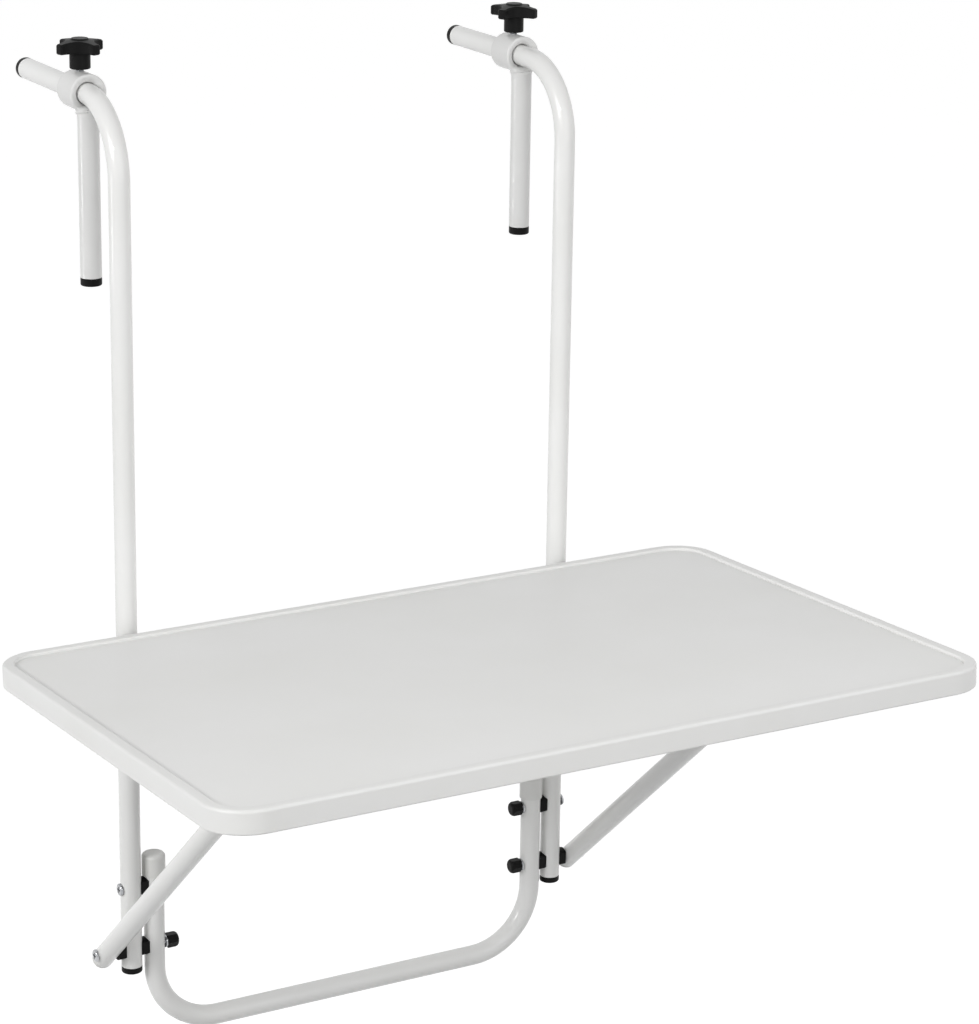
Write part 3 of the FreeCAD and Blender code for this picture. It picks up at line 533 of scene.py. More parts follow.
class NodeRecipe:
    """A Geometry Nodes tree with named sizes, whose result is kept as a plain mesh."""

    def __init__(self, name: str) -> None:
        """Starts an empty recipe.

        Args:
            name: the tree's name.
        """
        self.tree = bpy.data.node_groups.new(name, "GeometryNodeTree")
        self.socket("Geometry", "NodeSocketGeometry")
        self.tree.interface.new_socket(
            "Geometry", in_out="OUTPUT", socket_type="NodeSocketGeometry"
        )
        self.entry = add_node(self.tree, "NodeGroupInput")

    def socket(self, name: str, kind: str = "NodeSocketFloat") -> None:
        """Adds an input socket to the tree's own interface."""
        self.tree.interface.new_socket(name, in_out="INPUT", socket_type=kind)

    def size(self, name: str, kind: str = "NodeSocketFloat") -> NodeSocket:
        """Adds a named size.

        Args:
            name: the size's name.
            kind: its socket type.

        Returns:
            The socket that carries it inside the tree.
        """
        self.socket(name, kind)
        return self.entry.outputs[name]

    def node(
        self, kind: str, settings: dict[str, Any] | None = None, **inputs: Any
    ) -> Node:
        """Adds a node whose inputs are named with underscores for spaces."""
        named = {key.replace("_", " "): value for key, value in inputs.items()}
        return add_node(self.tree, kind, settings, named)

    def close(self, geometry: NodeSocket, material: Material) -> None:
        """Ends the tree with real, smooth geometry in one material.

        Args:
            geometry: what the tree has made.
            material: its finish.
        """
        real = self.node("GeometryNodeRealizeInstances", Geometry=geometry)
        smooth = self.node("GeometryNodeSetShadeSmooth", Geometry=real.outputs["Geometry"])
        painted = self.node(
            "GeometryNodeSetMaterial", Geometry=smooth.outputs["Geometry"], Material=material
        )
        self.node("NodeGroupOutput", Geometry=painted.outputs["Geometry"])

    def make(
        self, name: str, seed_mesh: Mesh, sizes: dict[str, float | int]
    ) -> Object:
        """Runs the recipe once.

        Args:
            name: the new piece's name.
            seed_mesh: the mesh that it starts from.
            sizes: a value for each named size.

        Returns:
            The piece, as a plain mesh with its object at the origin.
        """
        carrier = add_object(name + "_carrier", seed_mesh)
        modifier = carrier.modifiers.new("recipe", "NODES")
        modifier.node_group = self.tree
        for item in self.tree.interface.items_tree:
            if item.item_type == "SOCKET" and item.in_out == "INPUT" and item.name in sizes:
                modifier[item.identifier] = sizes[item.name]
        graph = bpy.context.evaluated_depsgraph_get()
        mesh = bpy.data.meshes.new_from_object(carrier.evaluated_get(graph), depsgraph=graph)
        carrier.modifiers.remove(modifier)
        bpy.data.objects.remove(carrier)
        mesh.name = name
        return add_object(name, mesh)


def loop_mesh(name: str, rings: Sequence[Sequence[Vector]]) -> Mesh:
    """Skins a closed loop of closed rings, all with the same number of points.

    Args:
        name: the mesh's name.
        rings: the rings, in order round the loop.

    Returns:
        A closed mesh, like a bent tyre, with its faces outwards.
    """
    across = len(rings[0])
    faces = []
    for i in range(len(rings)):
        here, there = i * across, (i + 1) % len(rings) * across
        for j in range(across):
            beside = (j + 1) % across
            faces.append((here + j, here + beside, there + beside, there + j))
    mesh = bpy.data.meshes.new(name)
    mesh.from_pydata([point for ring in rings for point in ring], [], faces)
    shell = bmesh.new()
    shell.from_mesh(mesh)
    bmesh.ops.recalc_face_normals(shell, faces=shell.faces)
    for face in shell.faces:
        face.smooth = True
    shell.to_mesh(mesh)
    shell.free()
    return mesh


@dataclass(frozen=True)
class BellCollar:
    """A turned collar round the arm, with both mouths rounded like a bell."""

    low: Vector
    high: Vector
    throat: float = mm(8.25)
    throat_drop: float = mm(0.4)
    mouth_rounding: float = mm(4.5)
    rim_rounding: float = mm(1.4)
    steps: int = 112
    arc_steps: int = 8

    @property
    def radius(self) -> float:
        """The collar's outer radius."""
        return (self.high.x - self.low.x) / 2

    @property
    def centre(self) -> Vector:
        """The collar's middle."""
        return (self.low + self.high) / 2

    def section(self) -> list[tuple[float, float]]:
        """Draws the wall's outline.

        Returns:
            Its points, as distances along the collar and from its axis.
        """
        length, mouth, rim = self.high.y - self.low.y, self.mouth_rounding, self.rim_rounding
        inner = [
            (mouth * (1 - math.sin(turn)), self.throat + mouth * (1 - math.cos(turn)))
            for turn in self.turns()
        ]
        outer = [
            (rim * (1 - math.cos(turn)), self.radius - rim * (1 - math.sin(turn)))
            for turn in self.turns()
        ]
        front = inner + outer
        return front + [(length - along, out) for along, out in reversed(front)]

    def turns(self) -> list[float]:
        """Divides a quarter turn."""
        return [QUARTER_TURN * step / self.arc_steps for step in range(self.arc_steps + 1)]

    def drop(self, out: float) -> float:
        """How far the bore's centre is below the collar's, at a distance from the axis."""
        return self.throat_drop * (self.radius - out) / (self.radius - self.throat)

    def mesh(self) -> Mesh:
        """Turns the wall's outline round the arm.

        Returns:
            The collar.
        """
        centre, section, rings = self.centre, self.section(), []
        for step in range(self.steps):
            angle = math.tau * step / self.steps
            ring = []
            for along, out in section:
                x = centre.x + out * math.cos(angle)
                z = centre.z + out * math.sin(angle) - self.drop(out)
                ring.append(Vector((x, self.low.y + along, z)))
            rings.append(ring)
        return loop_mesh("bell_collar", rings)

    def face(self, x: float, z: float) -> float:
        """How far back the front end's surface is at a place in its outline.

        Args:
            x: the distance from the collar's axis, sideways.
            z: the height.

        Returns:
            The surface's Y.
        """
        out = math.hypot(x, z - self.centre.z)
        mouth, rim = self.mouth_rounding, self.rim_rounding
        inwards = min(max(self.throat + mouth - out, 0), mouth)
        outwards = min(max(out - self.radius + rim, 0), rim)
        depth = mouth - math.sqrt(mouth**2 - inwards**2)
        return self.low.y + depth + rim - math.sqrt(rim**2 - outwards**2)


@dataclass(frozen=True)
class WeldSeam:
    """The painted weld that joins a hook tube to its collar.

    It is a hollow fillet all round. In front of the collar it closes the tube's mouth with a
    sloping shoulder under the arm. Overlapping ripples lie along its middle.
    """

    collar: BellCollar
    hook_low: Vector
    hook_high: Vector
    # How far the fillet stands out from the tube, and how far it reaches down on it.
    spread: float = mm(3.0)
    reach_down: float = mm(4.6)
    least_reach: float = mm(2.5)
    # The heights of its top and of the shoulder in front, and how soon the top gets there.
    front_height: float = mm(-0.75)
    shoulder_height: float = mm(-2.0)
    shoulder_onset: float = 6.0
    # How it lies on the tube and the collar, and how its back is hidden in them.
    skin: float = mm(0.04)
    inset: float = mm(0.15)
    hidden: float = mm(1.6)
    hidden_rise: float = mm(0.8)
    hidden_drop: float = mm(0.4)
    heel_share: float = 0.07
    # The ripples, the share of the fillet's width at which they lie, and how deep they sink.
    ripple_radius: float = mm(0.9)
    ripple_pitch: float = mm(1.1)
    ripple_squeeze: float = 0.7
    ripple_subdivisions: int = 2
    least_swell: float = 0.85
    most_swell: float = 1.12
    ripple_line: float = 0.42
    sink: float = mm(0.4)
    sink_slope: float = 0.6
    steps: int = 120
    arc_steps: int = 9

    @property
    def tube(self) -> float:
        """The hook tube's radius."""
        return (self.hook_high.x - self.hook_low.x) / 2

    @property
    def axis(self) -> Vector:
        """The middle of the hook tube."""
        return (self.hook_low + self.hook_high) / 2

    def under(self, x: float) -> float:
        """The height of the collar's underside at a distance from its axis."""
        return self.collar.centre.z - math.sqrt(self.collar.radius**2 - x**2)

    def corners(self, angle: float) -> tuple[Vector, Vector, Vector]:
        """Finds the fillet's foot, its corner and its top at an angle round the hook tube.

        Args:
            angle: the angle, with the front at three quarters of a turn.

        Returns:
            The three points.
        """
        across, along = math.cos(angle), math.sin(angle)
        ahead = max(-along, 0.0)
        tube, axis = self.tube + self.skin, self.axis
        seam = self.under(self.tube * across)
        corner = seam + (self.shoulder_height - seam) * ahead
        foot = self.under(self.tube) - self.reach_down
        foot = min(foot, seam - self.reach_down * (1 - ahead) - self.least_reach)
        wide = (self.tube + self.spread) * across
        shift = min(ahead * self.shoulder_onset, 1)
        top = self.under(wide) + (self.front_height - self.under(wide)) * shift
        back = axis.y + (self.tube + self.spread) * along
        if along < 0:
            back = max(back, self.collar.face(wide, top) + self.inset)
        return (
            Vector((axis.x + tube * across, axis.y + tube * along, foot)),
            Vector((axis.x + tube * across, axis.y + tube * along, corner)),
            Vector((axis.x + wide, back, top)),
        )

    def point(self, angle: float, share: float) -> Vector:
        """Finds a point on the fillet, from its foot at 0 to its top at 1."""
        foot, corner, top = self.corners(angle)
        return foot.lerp(corner, share).lerp(corner.lerp(top, share), share)

    def angles(self) -> list[float]:
        """Divides a turn round the hook tube."""
        return [math.tau * step / self.steps for step in range(self.steps)]

    def fillet(self) -> Mesh:
        """Skins the fillet, with its back hidden in the tube and the collar.

        Returns:
            The closed fillet.
        """
        shares = [step / self.arc_steps for step in range(self.arc_steps + 1)]
        rise, drop = Vector((0, 0, self.hidden_rise)), Vector((0, 0, self.hidden_drop))
        rings = []
        for angle in self.angles():
            ring = [self.point(angle, share) for share in shares]
            inwards = Vector((-math.cos(angle), -math.sin(angle), 0)) * self.hidden
            ring.append(ring[-1] + inwards + rise)
            ring.append(ring[0] + inwards - drop)
            ring.append(ring[0] + inwards * self.heel_share - drop)
            rings.append(ring)
        return loop_mesh("weld_fillet", rings)

    def path(self) -> Mesh:
        """Draws the line that the ripples follow, along the fillet's middle.

        Returns:
            A closed loop of edges.
        """
        points = []
        for angle in self.angles():
            outwards = Vector((math.cos(angle), math.sin(angle), -self.sink_slope)) * self.sink
            points.append(self.point(angle, self.ripple_line) - outwards)
        edges = [(i, (i + 1) % self.steps) for i in range(self.steps)]
        mesh = bpy.data.meshes.new("weld_path")
        mesh.from_pydata(points, edges, [])
        return mesh

    def recipe(self, material: Material) -> NodeRecipe:
        """Builds the tree that lays ripples along a path.

        Args:
            material: the paint over the weld.

        Returns:
            The recipe.
        """
        recipe = NodeRecipe("weld_ripples")
        radius, pitch, squeeze, seed = (
            recipe.size("Ripple radius"),
            recipe.size("Ripple pitch"),
            recipe.size("Squeeze"),
            recipe.size("Seed", "NodeSocketInt"),
        )
        curve = recipe.node("GeometryNodeMeshToCurve", Mesh=recipe.entry.outputs["Geometry"])
        points = recipe.node(
            "GeometryNodeCurveToPoints",
            {"mode": "LENGTH"},
            Curve=curve.outputs["Curve"],
            Length=pitch,
        )
        drop = recipe.node(
            "GeometryNodeMeshIcoSphere", Radius=radius, Subdivisions=self.ripple_subdivisions
        )
        # A random number comes out at output 1.
        swell = recipe.node(
            "FunctionNodeRandomValue", Min=self.least_swell, Max=self.most_swell, Seed=seed
        ).outputs[1]
        thickness = add_node(
            recipe.tree, "ShaderNodeMath", {"operation": "MULTIPLY"}, {0: swell, 1: squeeze}
        )
        scale = recipe.node(
            "ShaderNodeCombineXYZ", X=swell, Y=swell, Z=thickness.outputs["Value"]
        )
        ripples = recipe.node(
            "GeometryNodeInstanceOnPoints",
            Points=points.outputs["Points"],
            Instance=drop.outputs["Mesh"],
            Rotation=points.outputs["Rotation"],
            Scale=scale.outputs["Vector"],
        )
        recipe.close(ripples.outputs["Instances"], material)
        return recipe


@dataclass(frozen=True)
class ScrewThread:
    """The clamping screw's coarse thread: a ridge wound on a core."""

    pitch: float = mm(1.0)
    ridge: float = mm(0.45)
    core_gap: float = mm(0.4)
    ridge_sides: int = 4
    points_per_turn: int = 24

    def recipe(self, material: Material) -> NodeRecipe:
        """Builds the tree that winds a ridge round a core.

        Args:
            material: the screw's plating.

        Returns:
            The recipe.
        """
        recipe = NodeRecipe("wound_thread")
        length, turns, helix, ridge, core = (
            recipe.size(name)
            for name in ("Length", "Turns", "Helix radius", "Ridge", "Core radius")
        )
        sides = recipe.size("Sides", "NodeSocketInt")
        spiral = recipe.node(
            "GeometryNodeCurveSpiral",
            Resolution=sides,
            Rotations=turns,
            Start_Radius=helix,
            End_Radius=helix,
            Height=length,
        )
        profile = recipe.node(
            "GeometryNodeCurvePrimitiveCircle",
            {"mode": "RADIUS"},
            Resolution=self.ridge_sides,
            Radius=ridge,
        )
        wound = recipe.node(
            "GeometryNodeCurveToMesh",
            Curve=spiral.outputs["Curve"],
            Profile_Curve=profile.outputs["Curve"],
            Fill_Caps=True,
        )
        shank = recipe.node(
            "GeometryNodeMeshCylinder", Vertices=sides, Radius=core, Depth=length
        )
        half = add_node(
            recipe.tree, "ShaderNodeMath", {"operation": "MULTIPLY"}, {0: length, 1: 0.5}
        )
        lift = recipe.node("ShaderNodeCombineXYZ", Z=half.outputs["Value"])
        raised = recipe.node(
            "GeometryNodeTransform",
            Geometry=shank.outputs["Mesh"],
            Translation=lift.outputs["Vector"],
        )
        both = recipe.node("GeometryNodeJoinGeometry")
        for part in (wound.outputs["Mesh"], raised.outputs["Geometry"]):
            recipe.tree.links.new(part, both.inputs["Geometry"])
        recipe.close(both.outputs["Geometry"], material)
        return recipe

    def make(
        self, name: str, box: tuple[Vector, Vector], material: Material
    ) -> Object:
        """Winds a screw that fills a box.

        Args:
            name: the piece's name.
            box: the plain screw's box.
            material: the screw's plating.

        Returns:
            The threaded screw.
        """
        low, high = box
        length = high.z - low.z - 2 * self.ridge
        radius = (high.x - low.x) / 2
        empty = bpy.data.meshes.new(name + "_start")
        empty.from_pydata([(0, 0, 0)], [], [])
        screw = self.recipe(material).make(
            name,
            empty,
            {
                "Length": length,
                "Turns": length / self.pitch,
                "Helix radius": radius - self.ridge,
                "Ridge": self.ridge,
                "Core radius": radius - self.core_gap,
                "Sides": self.points_per_turn,
            },
        )
        foot = Vector(((low.x + high.x) / 2, (low.y + high.y) / 2, low.z))
        screw.data.transform(Matrix.Translation(foot + Vector((0, 0, self.ridge))))
        return screw


@dataclass(frozen=True)
class RoundedCorner:
    """A corner of the edge profile's section: its place and its rounding.

    The depth is counted inwards from the top's outline, and the height from the hinge axis.
    """

    depth: float
    height: float
    rounding: float = 0.0
    steps: int = 4
    flat_guard: float = mm(0.2)

    def points(self, before: "RoundedCorner", after: "RoundedCorner") -> list[Vector]:
        """Draws the corner's arc, with a point beside each end that keeps the flats flat.

        Args:
            before: the corner that comes before it in the section.
            after: the corner that comes after it.

        Returns:
            The points, as depth and height.
        """
        corner = Vector((self.depth, self.height))
        if not self.rounding:
            return [corner]
        back = (Vector((before.depth, before.height)) - corner).normalized()
        ahead = (Vector((after.depth, after.height)) - corner).normalized()
        middle = corner + (back + ahead) * self.rounding
        beside = self.rounding + self.flat_guard
        arc = [corner + back * beside]
        for step in range(self.steps + 1):
            turn = QUARTER_TURN * step / self.steps
            spoke = ahead * math.cos(turn) + back * math.sin(turn)
            arc.append(middle - spoke * self.rounding)
        return arc + [corner + ahead * beside]


@dataclass(frozen=True)
class EdgeProfile:
    """The channel that is bent round the board, with a proud lip whose edges are soft."""

    half_width: float
    rear: float = mm(-18)
    front: float = mm(-418)
    corner: float = mm(33)
    corner_steps: int = 16
    # How far beyond each corner another ring of points keeps the straight sides straight.
    support: float = mm(3)
    # The hinge axis's Y and Z, and how far the top slopes down to the user.
    hinge: tuple[float, float] = (mm(-8), mm(-414))
    tilt: float = math.radians(3.5)
    # Up the outer face, over the lip, round the board's channel and back under it.
    section: tuple[RoundedCorner, ...] = (
        RoundedCorner(depth=0.0, height=mm(13.4), rounding=mm(1.2)),
        RoundedCorner(depth=0.0, height=mm(30.3), rounding=mm(2.4), steps=8),
        RoundedCorner(depth=mm(9), height=mm(30.3), rounding=mm(1.1)),
        RoundedCorner(depth=mm(9), height=mm(27.8), rounding=mm(0.2), steps=2),
        RoundedCorner(depth=mm(2.5), height=mm(27.8)),
        RoundedCorner(depth=mm(2.5), height=mm(15.9)),
        RoundedCorner(depth=mm(9), height=mm(15.9), rounding=mm(0.3), steps=2),
        RoundedCorner(depth=mm(9), height=mm(13.4), rounding=mm(0.5)),
    )

    def outline(self) -> list[tuple[Vector, Vector]]:
        """Walks round the top's outline.

        Returns:
            Places on the outline, each with the direction inwards.
        """
        middle = self.half_width - self.corner
        centres = (
            (middle, self.rear - self.corner),
            (-middle, self.rear - self.corner),
            (-middle, self.front + self.corner),
            (middle, self.front + self.corner),
        )
        walk = []
        for quarter, centre in enumerate(centres):
            # The first and the last step lie beyond the corner, on the straight sides.
            for step in range(-1, self.corner_steps + 2):
                held = min(max(step, 0), self.corner_steps)
                angle = QUARTER_TURN * (quarter + held / self.corner_steps)
                out = Vector((math.cos(angle), math.sin(angle)))
                along = Vector((-out.y, out.x)) * self.support * (step - held)
                walk.append((Vector(centre) + out * self.corner + along, -out))
        return walk

    def place(self, x: float, y: float, z: float) -> Vector:
        """Turns a place in the top's own frame into one in the part's.

        Args:
            x: sideways.
            y: back along the top, from the hinge axis.
            z: up from the hinge axis, square to the top.

        Returns:
            The place in the part's frame.
        """
        back, up = math.cos(self.tilt), math.sin(self.tilt)
        return Vector(
            (x, self.hinge[0] + y * back + z * up, self.hinge[1] - y * up + z * back)
        )

    def mesh(self) -> Mesh:
        """Sweeps the section round the outline.

        Returns:
            The edge profile.
        """
        count = len(self.section)
        profile = [
            point
            for i, corner in enumerate(self.section)
            for point in corner.points(self.section[i - 1], self.section[(i + 1) % count])
        ]
        rings = [
            [
                self.place(rim.x + inwards.x * depth, rim.y + inwards.y * depth, height)
                for depth, height in profile
            ]
            for rim, inwards in self.outline()
        ]
        return loop_mesh("edge_profile", rings)


# ------------------------------------------------------------ sub-assemblies


@dataclass
class SubAssembly:
    """A group of the part's nodes with their finishes, and the details made here."""

    nodes: dict[str, Object]
    paint: Paintwork

    def finishes(self) -> dict[str, Finish]:
        """Names each carried-over node's finish."""
        return {}

    def dress(self) -> None:
        """Gives every node of the group its finish."""
        for name, finish in self.finishes().items():
            self.paint.coat(self.nodes[name], finish)
            LOG.info("dressed %s in %s", name, finish.name)

    def build(self) -> None:
        """Makes the group's extra pieces."""

    def mount(self, piece: Object, body: str, finish: Finish) -> None:
        """Sets a new piece on a body, in a finish of the record's.

        Args:
            piece: the new piece.
            body: the body that it moves with.
            finish: the finish that it has.
        """
        self.paint.coat(piece, finish)
        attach(piece, body)
        LOG.info("made %s on %s with %d faces", piece.name, body, len(piece.data.polygons))


@dataclass
class HangingFrame(SubAssembly):
    """The two bent posts and the U-shaped foot frame, with their bolts and caps."""

    def finishes(self) -> dict[str, Finish]:
        """Names each carried-over node's finish.

        Returns:
            The finishes, by node name.
        """
        found: dict[str, Finish] = {
            "foot_frame": POWDER_COAT,
            "inner_spacers": BLACK_NYLON,
            "pivot_spacers": BLACK_NYLON,
            "nut_caps": BLACK_NYLON,
            "upper_bolts": ZINC_PLATE,
            "pivot_bolts": ZINC_PLATE,
            "hinge_bolts": ZINC_PLATE,
            "nut_washers": ZINC_PLATE,
            "lock_nuts": ZINC_PLATE,
            "hinge_nuts": ZINC_PLATE,
        }
        for side in Side:
            found |= {
                f"post_{side.word}": POWDER_COAT,
                f"post_foot_cap_{side.word}": BLACK_NYLON,
                f"arm_end_cap_{side.word}": BLACK_NYLON,
                f"foot_frame_cap_{side.word}": WHITE_POLYETHYLENE,
            }
        return found


@dataclass
class SlidingClamp(SubAssembly):
    """A collar on a post's arm, with its hook, its screw and its star knob."""

    side: Side = Side.LEFT
    # The left weld's ripples are larger than the right one's by this factor.
    left_coarseness: float = 1.3
    seed: int = 11

    def finishes(self) -> dict[str, Finish]:
        """Names each carried-over node's finish.

        Returns:
            The finishes, by node name.
        """
        word = self.side.word
        # The collar and the hook tube take the clamp coat, whose greyer colour is painted
        # shade.
        return {
            f"collar_{word}": SHADE_DARKENED_CLAMP_COAT,
            f"hook_tube_{word}": SHADE_DARKENED_CLAMP_COAT,
            f"hook_cap_{word}": BLACK_NYLON,
            f"star_knob_{word}": BLACK_NYLON,
            f"clamp_stud_{word}": ZINC_PLATE,
        }

    def build(self) -> None:
        """Makes the collar, the weld under it and the thread on the clamping screw."""
        self.lay_weld(self.turn_collar())
        self.cut_thread()

    def turn_collar(self) -> BellCollar:
        """Shows the collar with its bell mouths, in the plain collar's place.

        Returns:
            The collar's shape.
        """
        word = self.side.word
        shape = BellCollar(*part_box(f"collar_{word}"))
        collar = add_object(f"bell_collar_{word}", shape.mesh())
        # The bell collar takes the clamp coat, greyer by painted shade.
        self.mount(collar, f"clamp_{word}", SHADE_DARKENED_CLAMP_COAT)
        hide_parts(f"collar_{word}")
        return shape

    def lay_weld(self, collar: BellCollar) -> None:
        """Lays the weld between the hook tube and the collar.

        Args:
            collar: the collar's shape.
        """
        word = self.side.word
        seam = WeldSeam(collar, *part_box(f"hook_tube_{word}"))
        fillet = add_object(f"weld_fillet_{word}", seam.fillet())
        coarseness = self.left_coarseness if self.side is Side.LEFT else 1.0
        sizes = {
            "Ripple radius": seam.ripple_radius * coarseness,
            "Ripple pitch": seam.ripple_pitch,
            "Squeeze": seam.ripple_squeeze,
            "Seed": self.seed + self.side.value,
        }
        # The weld takes the clamp coat too, greyer by painted shade.
        recipe = seam.recipe(self.paint.material(SHADE_DARKENED_CLAMP_COAT))
        for piece in (fillet, recipe.make(f"weld_ripples_{word}", seam.path(), sizes)):
            self.mount(piece, f"clamp_{word}", SHADE_DARKENED_CLAMP_COAT)

    def cut_thread(self) -> None:
        """Shows the clamping screw with its thread, in the plain screw's place."""
        word = self.side.word
        box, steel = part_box(f"clamp_stud_{word}"), self.paint.material(ZINC_PLATE)
        screw = ScrewThread().make(f"threaded_screw_{word}", box, steel)
        self.mount(screw, f"screw_{word}", ZINC_PLATE)
        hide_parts(f"clamp_stud_{word}")


@dataclass
class TableTop(SubAssembly):
    """The board and its edge profile, with the brackets and clips under it."""

    def finishes(self) -> dict[str, Finish]:
        """Names each carried-over node's finish.

        Returns:
            The finishes, by node name.
        """
        found: dict[str, Finish] = {
            "table_board": MELAMINE,
            "table_edge": EDGE_ABS,
            "bracket_screws": ZINC_PLATE,
            "clip_screws": ZINC_PLATE,
        }
        for side in Side:
            found[f"hinge_bracket_{side.word}"] = POWDER_COAT
            found[f"bail_clip_{side.word}"] = WHITE_POLYETHYLENE
        return found

    def build(self) -> None:
        """Shows the edge profile with its soft lip, in the plain one's place."""
        shape = EdgeProfile(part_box("table_edge")[1].x)
        edge = add_object("soft_edge_profile", shape.mesh())
        self.mount(edge, "table_top", EDGE_ABS)
        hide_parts("table_edge")


@dataclass
class SupportBail(SubAssembly):
    """The bent bail that holds the top level, and its two caps."""

    def finishes(self) -> dict[str, Finish]:
        """Names each carried-over node's finish.

        Returns:
            The finishes, by node name.
        """
        return {
            "support_bail": POWDER_COAT,
            "bail_cap_left": WHITE_POLYETHYLENE,
            "bail_cap_right": WHITE_POLYETHYLENE,
        }


# --------------------------------------------------------------- the studio


@dataclass(frozen=True)
class SoftBox:
    """A square lamp with a soft front, turned to the middle of the table."""

    name: str
    place: tuple[float, float, float]
    width: float
    power: float
    gloss_only: bool = False
    aim: tuple[float, float, float] = (0.0, -0.2, -0.35)

    def hang(self) -> None:
        """Hangs the lamp, out of the camera's sight."""
        lamp = bpy.data.lights.new(self.name, "AREA")
        lamp.energy = self.power
        lamp.size = self.width
        box = add_object(self.name, lamp)
        box.location = self.place
        away = Vector(self.place) - Vector(self.aim)
        box.rotation_euler = away.to_track_quat("Z", "Y").to_euler()
        box.visible_camera = False
        box.visible_diffuse = not self.gloss_only


# The key stands on the left. The front box lights the near side most, the right box opens the
# shaded side, and the two small lamps only add their own sharp reflections.
SOFT_BOXES = (
    SoftBox("studio_key", place=(-2.68, -0.67, 0.92), width=1.1, power=40.0),
    SoftBox("studio_front_box", place=(0.05, -1.15, 0.2), width=1.0, power=4.2),
    SoftBox("studio_right_box", place=(1.6, -0.7, 0.6), width=1.6, power=4.0),
    SoftBox(
        "studio_front_glint", place=(-2.16, -1.46, 1.3), width=0.3, power=22.0, gloss_only=True
    ),
    SoftBox(
        "studio_rear_glint", place=(-2.6, 0.9, -0.6), width=0.3, power=5.0, gloss_only=True
    ),
)


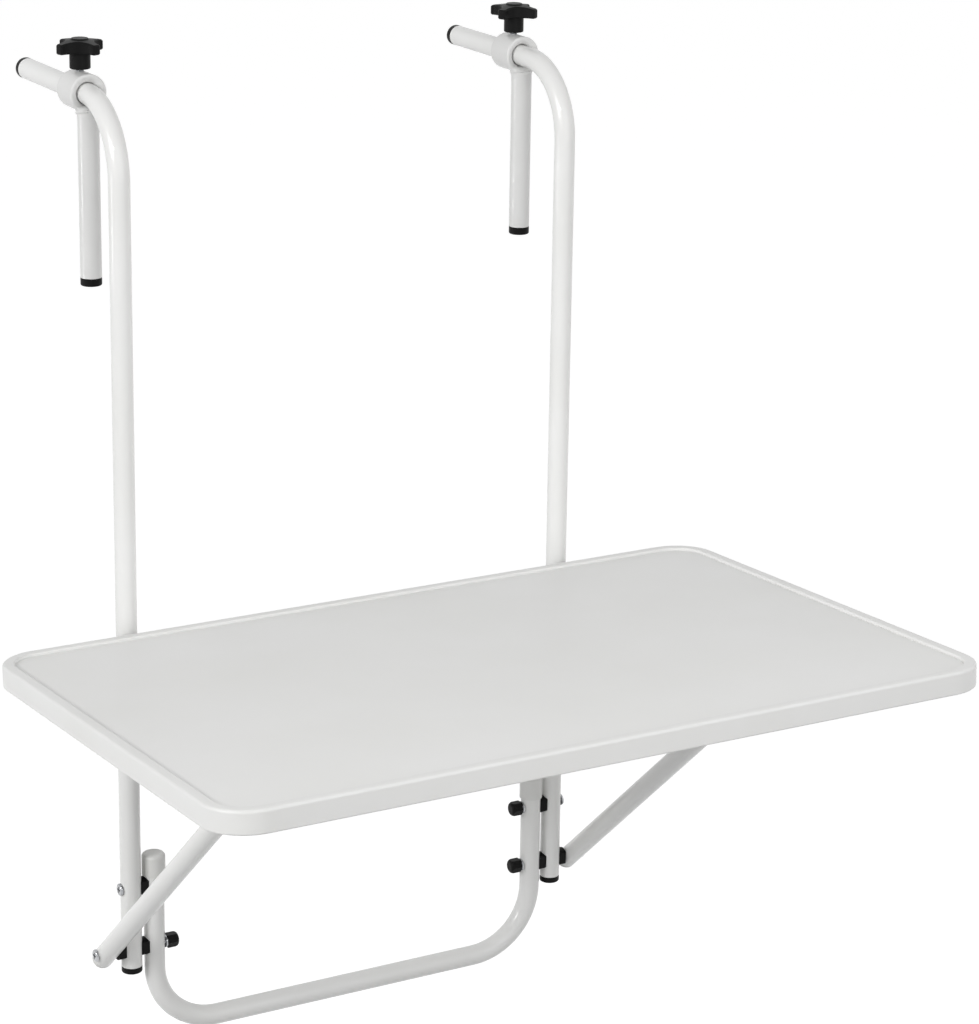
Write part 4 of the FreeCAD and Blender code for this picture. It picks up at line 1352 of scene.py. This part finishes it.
@dataclass(frozen=True)
class Studio:
    """A pale floor under a soft, even light, and the camera at the photograph's place."""

    floor_height: float = -1.12
    floor_reach: float = 60.0
    floor_colour: str = "#B4B4B4"
    floor_lift: float = 0.8
    sky_low: float = 1.05
    sky_high: float = 0.12
    sky_seen: float = 1.0
    camera_place: tuple[float, float, float] = (-1.09874, -2.15850, 0.44526)
    azimuth: float = -29.588
    elevation: float = 15.974
    roll: float = 0.872
    lens: float = 116.44
    sensor: float = 36.0
    shift_y: float = -0.0898
    clip_end: float = 200.0

    def seen_directly(self, tree: NodeTree) -> NodeSocket:
        """Is 1 for what the camera sees straight, in a reflection or through glass.

        Args:
            tree: the node tree.

        Returns:
            The socket that carries 1 or 0.
        """
        path = add_node(tree, "ShaderNodeLightPath")
        seen = path.outputs["Is Camera Ray"]
        for word in ("Is Glossy Ray", "Is Transmission Ray"):
            seen = add_node(
                tree,
                "ShaderNodeMath",
                {"operation": "MAXIMUM"},
                {0: seen, 1: path.outputs[word]},
            ).outputs["Value"]
        return seen

    def lay_floor(self) -> None:
        """Lays the floor: pale, and lifted to white only where it is seen."""
        mesh = bpy.data.meshes.new("studio_floor")
        reach, height = self.floor_reach, self.floor_height
        corners = [(-reach, -reach), (reach, -reach), (reach, reach), (-reach, reach)]
        mesh.from_pydata([(x, y, height) for x, y in corners], [], [(0, 1, 2, 3)])
        floor = add_object("studio_floor", mesh)
        material = bpy.data.materials.new("studio_paper")
        tree = bare_tree(material)
        paper = add_node(
            tree, "ShaderNodeBsdfDiffuse", inputs={"Color": linear(self.floor_colour)}
        )
        lift = add_node(
            tree,
            "ShaderNodeMath",
            {"operation": "MULTIPLY"},
            {0: self.seen_directly(tree), 1: self.floor_lift},
        )
        glow = add_node(
            tree,
            "ShaderNodeEmission",
            inputs={"Color": linear(WHITE), "Strength": lift.outputs["Value"]},
        )
        both = add_node(
            tree,
            "ShaderNodeAddShader",
            inputs={0: paper.outputs["BSDF"], 1: glow.outputs["Emission"]},
        )
        add_node(tree, "ShaderNodeOutputMaterial", inputs={"Surface": both.outputs["Shader"]})
        mesh.materials.append(material)

    def light_sky(self) -> None:
        """Fills the room with light that fades upwards, and shows white where it is seen."""
        world = bpy.data.worlds.new("studio_room")
        bpy.context.scene.world = world
        tree = bare_tree(world)
        direction = add_node(tree, "ShaderNodeTexCoord").outputs["Object"]
        height = add_node(tree, "ShaderNodeSeparateXYZ", inputs={"Vector": direction})
        fall = add_node(
            tree,
            "ShaderNodeMapRange",
            inputs={
                "Value": height.outputs["Z"],
                "To Min": self.sky_low,
                "To Max": self.sky_high,
            },
        )
        level = add_node(
            tree,
            "ShaderNodeMapRange",
            inputs={
                "Value": self.seen_directly(tree),
                "To Min": fall.outputs["Result"],
                "To Max": self.sky_seen,
            },
        )
        sky = add_node(
            tree,
            "ShaderNodeBackground",
            inputs={"Color": linear(WHITE), "Strength": level.outputs["Result"]},
        )
        add_node(tree, "ShaderNodeOutputWorld", inputs={"Surface": sky.outputs["Background"]})

    def set_camera(self) -> None:
        """Stands the camera where the photograph was taken."""
        azimuth, elevation, roll = map(math.radians, (self.azimuth, self.elevation, self.roll))
        back = Vector(
            (
                math.sin(azimuth) * math.cos(elevation),
                -math.cos(azimuth) * math.cos(elevation),
                math.sin(elevation),
            )
        )
        level = Vector((0, 0, 1)).cross(back).normalized()
        upright = back.cross(level)
        right = level * math.cos(roll) + upright * math.sin(roll)
        up = upright * math.cos(roll) - level * math.sin(roll)
        data = bpy.data.cameras.new("photograph_camera")
        data.sensor_width = self.sensor
        data.lens = self.lens
        data.shift_y = self.shift_y
        data.clip_end = self.clip_end
        camera = add_object("photograph_camera", data)
        turn = Matrix((right, up, back)).transposed().to_4x4()
        camera.matrix_world = Matrix.Translation(self.camera_place) @ turn
        bpy.context.scene.camera = camera

    def set_up(self) -> None:
        """Sets up the floor, the light and the camera."""
        bpy.context.scene.view_settings.view_transform = "Standard"
        self.lay_floor()
        self.light_sky()
        for box in SOFT_BOXES:
            box.hang()
        self.set_camera()


def main() -> None:
    """Dresses the part, adds its details, and sets up the studio."""
    logging.basicConfig(level=logging.INFO, format="%(message)s")
    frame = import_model()
    nodes, paint = frame["nodes"], Paintwork()
    groups: list[SubAssembly] = [
        HangingFrame(nodes, paint),
        SlidingClamp(nodes, paint, Side.LEFT),
        SlidingClamp(nodes, paint, Side.RIGHT),
        TableTop(nodes, paint),
        SupportBail(nodes, paint),
    ]
    for group in groups:
        group.dress()
        group.build()
    Studio().set_up()


if __name__ == "__main__":
    main()
